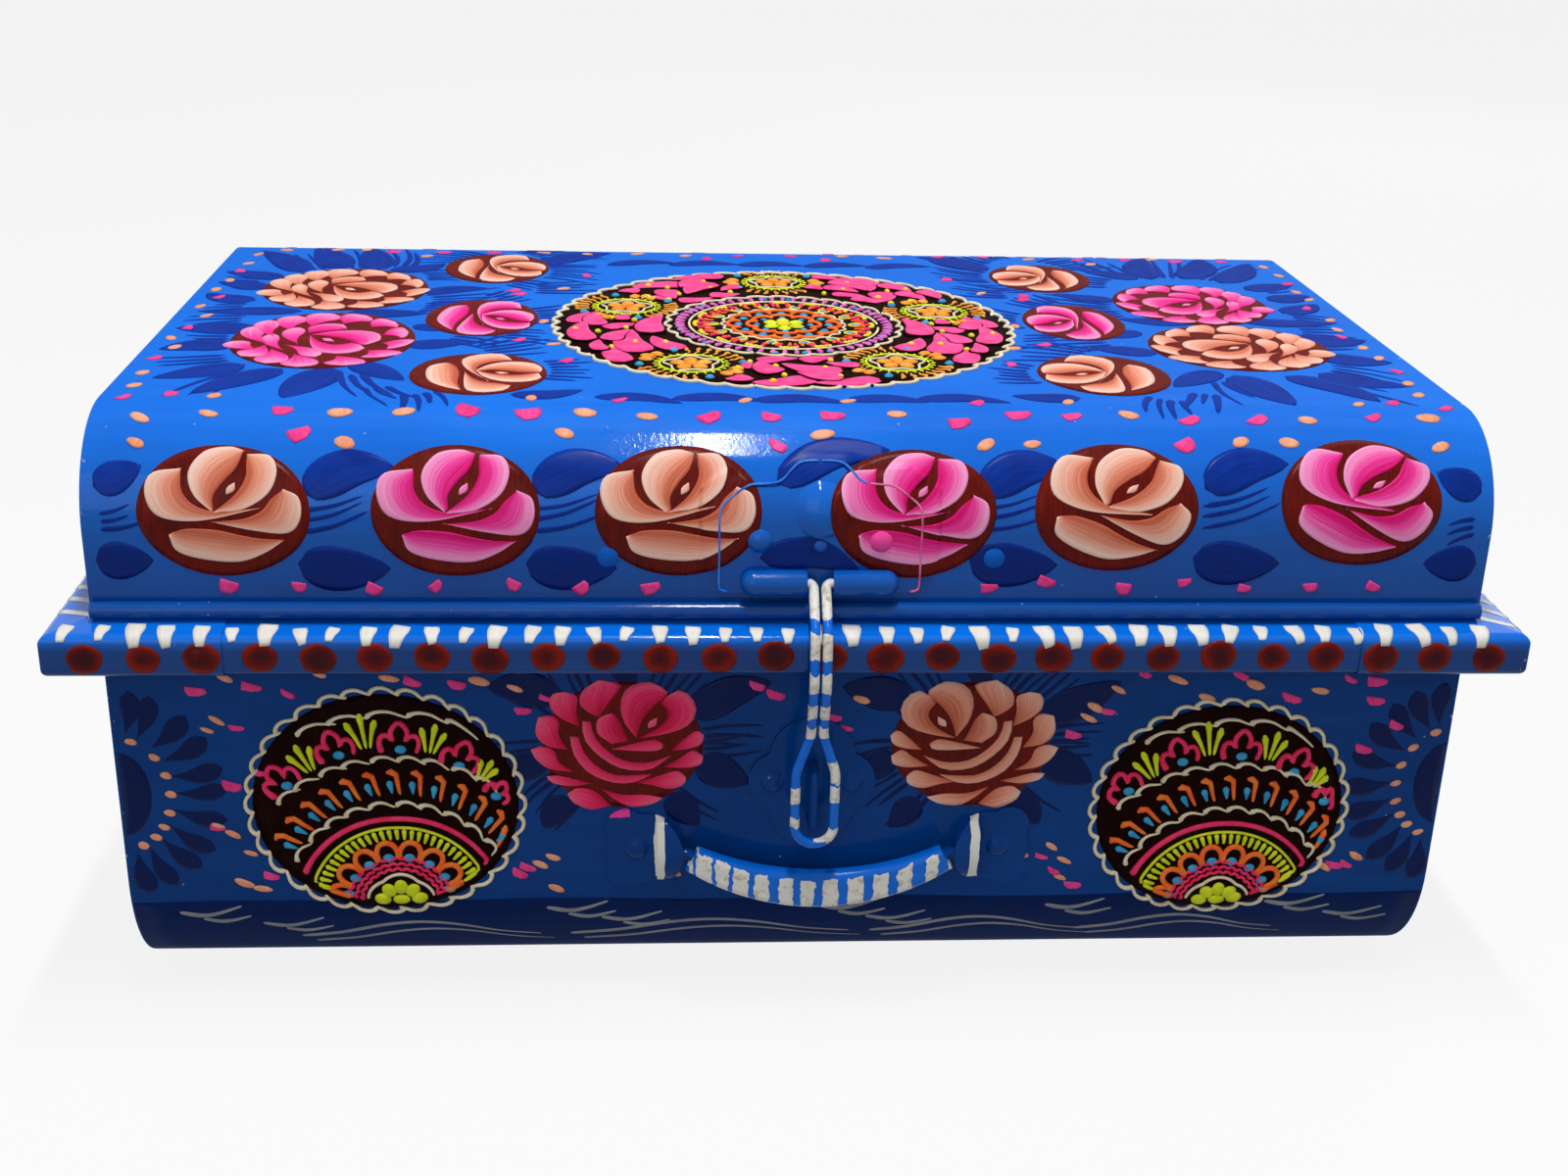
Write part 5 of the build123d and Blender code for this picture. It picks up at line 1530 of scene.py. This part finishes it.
def slant_stroke(coat):
    """A white slanted stripe across the ledge's top."""
    coat.petal([(-4.6, -7.0), (-1.0, 0.0), (2.6, 7.0)], [(-0.6, -7.0), (3.0, 0.2), (6.6, 7.0)], "white",
               layer_disc, count=6, wide=4)


def oval_stroke(coat):
    """A red oval with an uneven rim."""
    coat.spot((0, 0), (7.1, 5.8), "oxide", layer_disc, wobble=0.12, sides=18, rings=4)


def paint_ledge():
    """White dabs on the ledge's top edge and red ovals on its face, round all four sides."""
    for name, sheet in ledge_ways.items():
        coat = Coat(sheet)
        long = name in ("front", "back")
        half = (ledge_half if long else ledge_half_depth) - 4.0
        face_v, top_v = sheet.v_at(oval_z), sheet.along[-1] - 9.0
        count = int(2 * half / dab_pitch)
        if long:
            repeated(coat, drop_stroke, "white", count, start=(-half + 5, top_v - 3.4), step=(dab_pitch, 0),
                     size_spread=0.2, turn_spread=14, shift_spread=0.9)
        else:
            repeated(coat, slant_stroke, "white", count, start=(-half + 6, top_v), step=(dab_pitch, 0),
                     size_spread=0.10, turn_spread=6, shift_spread=0.5)
        repeated(coat, oval_stroke, "oxide", int(2 * half / oval_pitch), start=(-half + 11, face_v),
                 step=(oval_pitch, 0), size_spread=0.08, turn_spread=9, shift_spread=0.6)
        coat.lay(f"ledge_{name}_dabs", "trunk")


# ---- ends and back ----
def paint_ends():
    """Both ends: roses and leaves on the trunk, and a pair of roses on the lid."""
    for sheet, side in zip(trunk_ends, ("left", "right")):
        discs, petals, leaves, accents = coats = rose_coats(sheet)
        for u, paint, turn in ((-84.0, "peach", 15), (0.0, "pink", -10), (84.0, "peach", 20)):
            middle = (u, 88.0)
            full_rose(discs, petals, middle, (33.0, 28.5), paint, turn)
            for angle in (28, 62, 90, 118, 152, 208, 242, 270, 298, 332):
                root, tip = [on_oval(middle, (reach, reach * 0.86), angle) for reach in (29.0, 48.0)]
                front_leaf(leaves, root, tip, 12.0, hand.uniform(-0.12, 0.12))
                stroke_bundle(leaves, on_oval(middle, (31.0, 27.0), angle + 15), angle + 15, 15, 2)
        dabs(accents, scattered((-140, 140), (138, 147), 15, 2.8) + scattered((-110, 110), (26, 34), 12, 2.8))
        lay_coats(coats, f"trunk_{side}", "trunk")
    for sheet, side in zip(lid_ends, ("left", "right")):
        discs, petals, leaves, accents = coats = rose_coats(sheet)
        for u, paint in ((-88.0, "pink"), (0.0, "peach"), (88.0, "pink")):
            rose(discs, petals, (u, 34.0), (29.0, 23.0), paint)
        for u in (-134.0, -44.0, 44.0, 134.0):
            leaf_pair(leaves, u, 13, (45.0, 23.0))
        dabs(accents, scattered((-140, 140), (6, 9), 12, 3.0, 1.0) + scattered((-100, 100), (62, 66), 9, 3.0))
        lay_coats(coats, f"lid_{side}", "lid")


def paint_back():
    """The lid's back has the same row of roses as its front, between the hinges."""
    discs, petals, leaves, accents = coats = rose_coats(lid_back)
    for u, paint in ((-232.0, "pink"), (-100.0, "peach"), (0.0, "pink"), (100.0, "peach"), (232.0, "pink")):
        rose(discs, petals, (u, 45.0), (28.0, 21.0), paint)
    for u in (-50.0, 50.0):
        leaf_pair(leaves, u, 14, (54.0, 34.0))
    dabs(accents, scattered((-250, 250), (76, 88), 24, 3.4))
    lay_coats(coats, "lid_back", "lid")


# ---- the metal's own finishes ----
wear_reach = 1.6            # bare metal shows this far in from a sheet's ends


def near_ends(half):
    """Wear along both ends of a sheet, by x."""
    return lambda work: work.above(work.size(work.axis(0)), (half - wear_reach) * MM)


def within_end(half):
    """Inside of an end plate: short of the plate's outer face by half of its sheet."""
    return lambda work: work.below(work.size(work.axis(0)), (half - half_sheet) * MM)


def right_of(edge):
    """Everything past a place on x."""
    return lambda work: work.above(work.axis(0), edge * MM)


def upright_stroke(middle, width, low, high):
    """Mask of one upright brush stroke with an uneven edge, by x and z."""
    def mask(work):
        shake = work.span(work.noise(120.0, 2.0), 0.3, 0.7, -0.5 * MM, 0.5 * MM)
        off = work.size(work.less(work.plus(work.axis(0), shake), middle * MM))
        inside = work.between(work.plus(work.axis(2), shake), low, high)
        return work.times(inside, work.below(off, width / 2 * MM))
    return mask


def wrap_inside(half_depth, bend_radius, low, high):
    """Inside of a bent sheet, as a mask for enamel."""
    return lambda work: inside_mask(work, half_depth, bend_radius, low, high)


def dress_metal():
    """One finish for every node that shows its own metal."""
    # Each enamel here is darkened with painted shade below its fade heights: the trunk, its ends and brackets
    # all over, the hinges below 150 mm, the ledge's face below its top, and the lid, its ends and the hasp
    # plate below the bend.
    body = enamel("blue_enamel")
    cover = enamel("blue_enamel_hinges", (150.0, 225.0))
    lid_shade_heights = (165.0, 236.0)
    edge = enamel("blue_enamel_ledge", (163.0, 168.0), worn=[near_ends(ledge_half)], gloss=enamel_gloss)
    looks = {
        "body_wrap": enamel("blue_enamel_box", inside=wrap_inside(168.0, 56.0, 56.0, 400.0),
                            worn=[near_ends(trunk_half)]),
        "lid_wrap": enamel("blue_enamel_lid", lid_shade_heights, wrap_inside(170.0, 40.0, -400.0, 204.0),
                           [near_ends(lid_half)], gloss=enamel_gloss),
        "hasp_plate": enamel("blue_enamel_hasp_plate", lid_shade_heights, gloss=enamel_gloss),
        "corner_rivets": enamel("oxide_rivets", marks=[(right_of(-900.0), OXIDE)]),
        "lid_hem_wire": bare_steel("bare_steel_wire"),
        "hinge_pin_left": bare_steel("bare_steel_pins"),
        "hasp": striped_wire("striped_hasp"),
        "handle_grip": striped_grip("striped_grip"),
        "hasp_plate_rivets": enamel("blue_enamel_plate_rivets", lid_shade_heights,
                                    marks=[(right_of(lock_x + 10.0), PINK[1])], gloss=enamel_gloss),
        "handle_bracket_left": enamel("blue_enamel_bracket_left", marks=[
            (upright_stroke(-53.4, 3.8, 57.0, 85.5), WHITE),
            (upright_stroke(-70.0, 9.0, 84.0, 95.0), PINK[1])]),
        "handle_bracket_right": enamel("blue_enamel_bracket_right", marks=[
            (upright_stroke(72.5, 3.6, 58.0, 84.5), WHITE)]),
    }
    looks["hinge_pin_right"] = looks["hinge_pin_left"]
    for side in ("left", "right"):
        looks[f"body_end_{side}"] = enamel(f"blue_enamel_end_{side}", inside=within_end(trunk_half))
        looks[f"lid_end_{side}"] = enamel(f"blue_enamel_lid_end_{side}", lid_shade_heights, within_end(lid_half))
    for name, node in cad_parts.items():
        rim = name.startswith(("ledge", "corner_cap"))
        raised = name.startswith(("hinge_upper", "lid_strap"))
        finish = looks.get(name) or (edge if rim else cover if raised else body)
        node.data.materials.clear()
        node.data.materials.append(finish)


# ---- light, floor and camera ----
def lamp(name, place, aim, size, power):
    """A soft box: its size is across and along, in metres."""
    data = bpy.data.lights.new(name, "AREA")
    data.shape, data.energy = "RECTANGLE", power
    data.size, data.size_y = size
    light = new_object(name, data)
    light.location = place
    light.rotation_mode = "QUATERNION"
    light.rotation_quaternion = (Vector(aim) - Vector(place)).to_track_quat("-Z", "Y")


def seen_by_eye(tree):
    """1 for rays from the camera, from a gloss and through glass."""
    rays = tree.nodes.new("ShaderNodeLightPath").outputs
    clear = calc(tree, "MAXIMUM", rays["Is Camera Ray"], rays["Is Glossy Ray"])
    return calc(tree, "MAXIMUM", clear, rays["Is Transmission Ray"])


floor_half = 9.0            # metres
floor_seen, floor_unseen = 0.85, 0.40       # how pale the floor is to the eye, and to the chest
floor_glow = 0.86           # share of the seen floor that is plain white
backdrop_light = 0.25       # the backdrop's light on the chest, which is 1 to the eye


def make_studio():
    """A pale floor, a plain bright background, an overhead lamp, and weak ones in front and behind."""
    floor_mesh = bpy.data.meshes.new("floor")
    corners = [(u * floor_half, v * floor_half, 0) for u, v in ((-1, -1), (1, -1), (1, 1), (-1, 1))]
    floor_mesh.from_pydata(corners, [], [(0, 1, 2, 3)])
    new_object("floor", floor_mesh)
    pale = bpy.data.materials.new("pale_floor")
    pale.use_nodes = True
    tree = pale.node_tree
    tree.nodes.clear()
    seen = seen_by_eye(tree)
    tone = mixed(tree, seen, (*[floor_unseen] * 3, 1), (*[floor_seen] * 3, 1))
    diffuse = add_node(tree, "ShaderNodeBsdfDiffuse", tone).outputs[0]
    glow = tree.nodes.new("ShaderNodeEmission").outputs[0]
    share = calc(tree, "MULTIPLY", seen, floor_glow)
    surface = add_node(tree, "ShaderNodeMixShader", share, diffuse, glow).outputs[0]
    add_node(tree, "ShaderNodeOutputMaterial", surface)
    floor_mesh.materials.append(pale)

    world = bpy.data.worlds.new("studio")
    bpy.context.scene.world = world
    world.use_nodes = True
    tree = world.node_tree
    strength = add_node(tree, "ShaderNodeMapRange", seen_by_eye(tree), 0.0, 1.0, backdrop_light, 1.0)
    background = tree.nodes["Background"]
    join(tree, (1, 1, 1, 1), background.inputs["Color"])
    join(tree, strength.outputs[0], background.inputs["Strength"])

    lamp("overhead", (0, -0.33, 1.75), (0, -0.12, 0.15), (0.07, 0.8), 19.0)
    lamp("front_fill", (-0.9, -2.3, 1.2), (0, 0, 0.1), (1.6, 1.6), 9.0)
    lamp("back_fill", (1.2, 2.2, 1.3), (0, 0, 0.1), (1.6, 1.6), 9.0)


def make_camera():
    """From the front, a little to the left and above."""
    data = bpy.data.cameras.new("camera")
    data.sensor_width = 36.0
    data.lens = 44.735
    camera = new_object("camera", data)
    camera.location = (-0.05539, -0.85295, 0.45944)
    camera.rotation_euler = [math.radians(a) for a in (67.985, -1.495, -3.485)]
    bpy.context.scene.camera = camera


# ---- the whole ----
make_camera()
make_studio()
dress_metal()

lid_coats, wheel_coats = rose_coats(lid_wrap), [Coat(lid_wrap), Coat(lid_wrap)]
paint_lid_front(*lid_coats)
paint_lid_top(*lid_coats)
paint_wheel(*wheel_coats)
lay_coats(lid_coats, "lid", "lid")
lay_coats(wheel_coats, "lid_wheel", "lid", ("ground", "piping"))
paint_trunk_face(trunk_front, "front")
paint_trunk_face(trunk_back, "back")
paint_ledge()
paint_ends()
paint_back()

bpy.context.scene.view_settings.view_transform = "Standard"
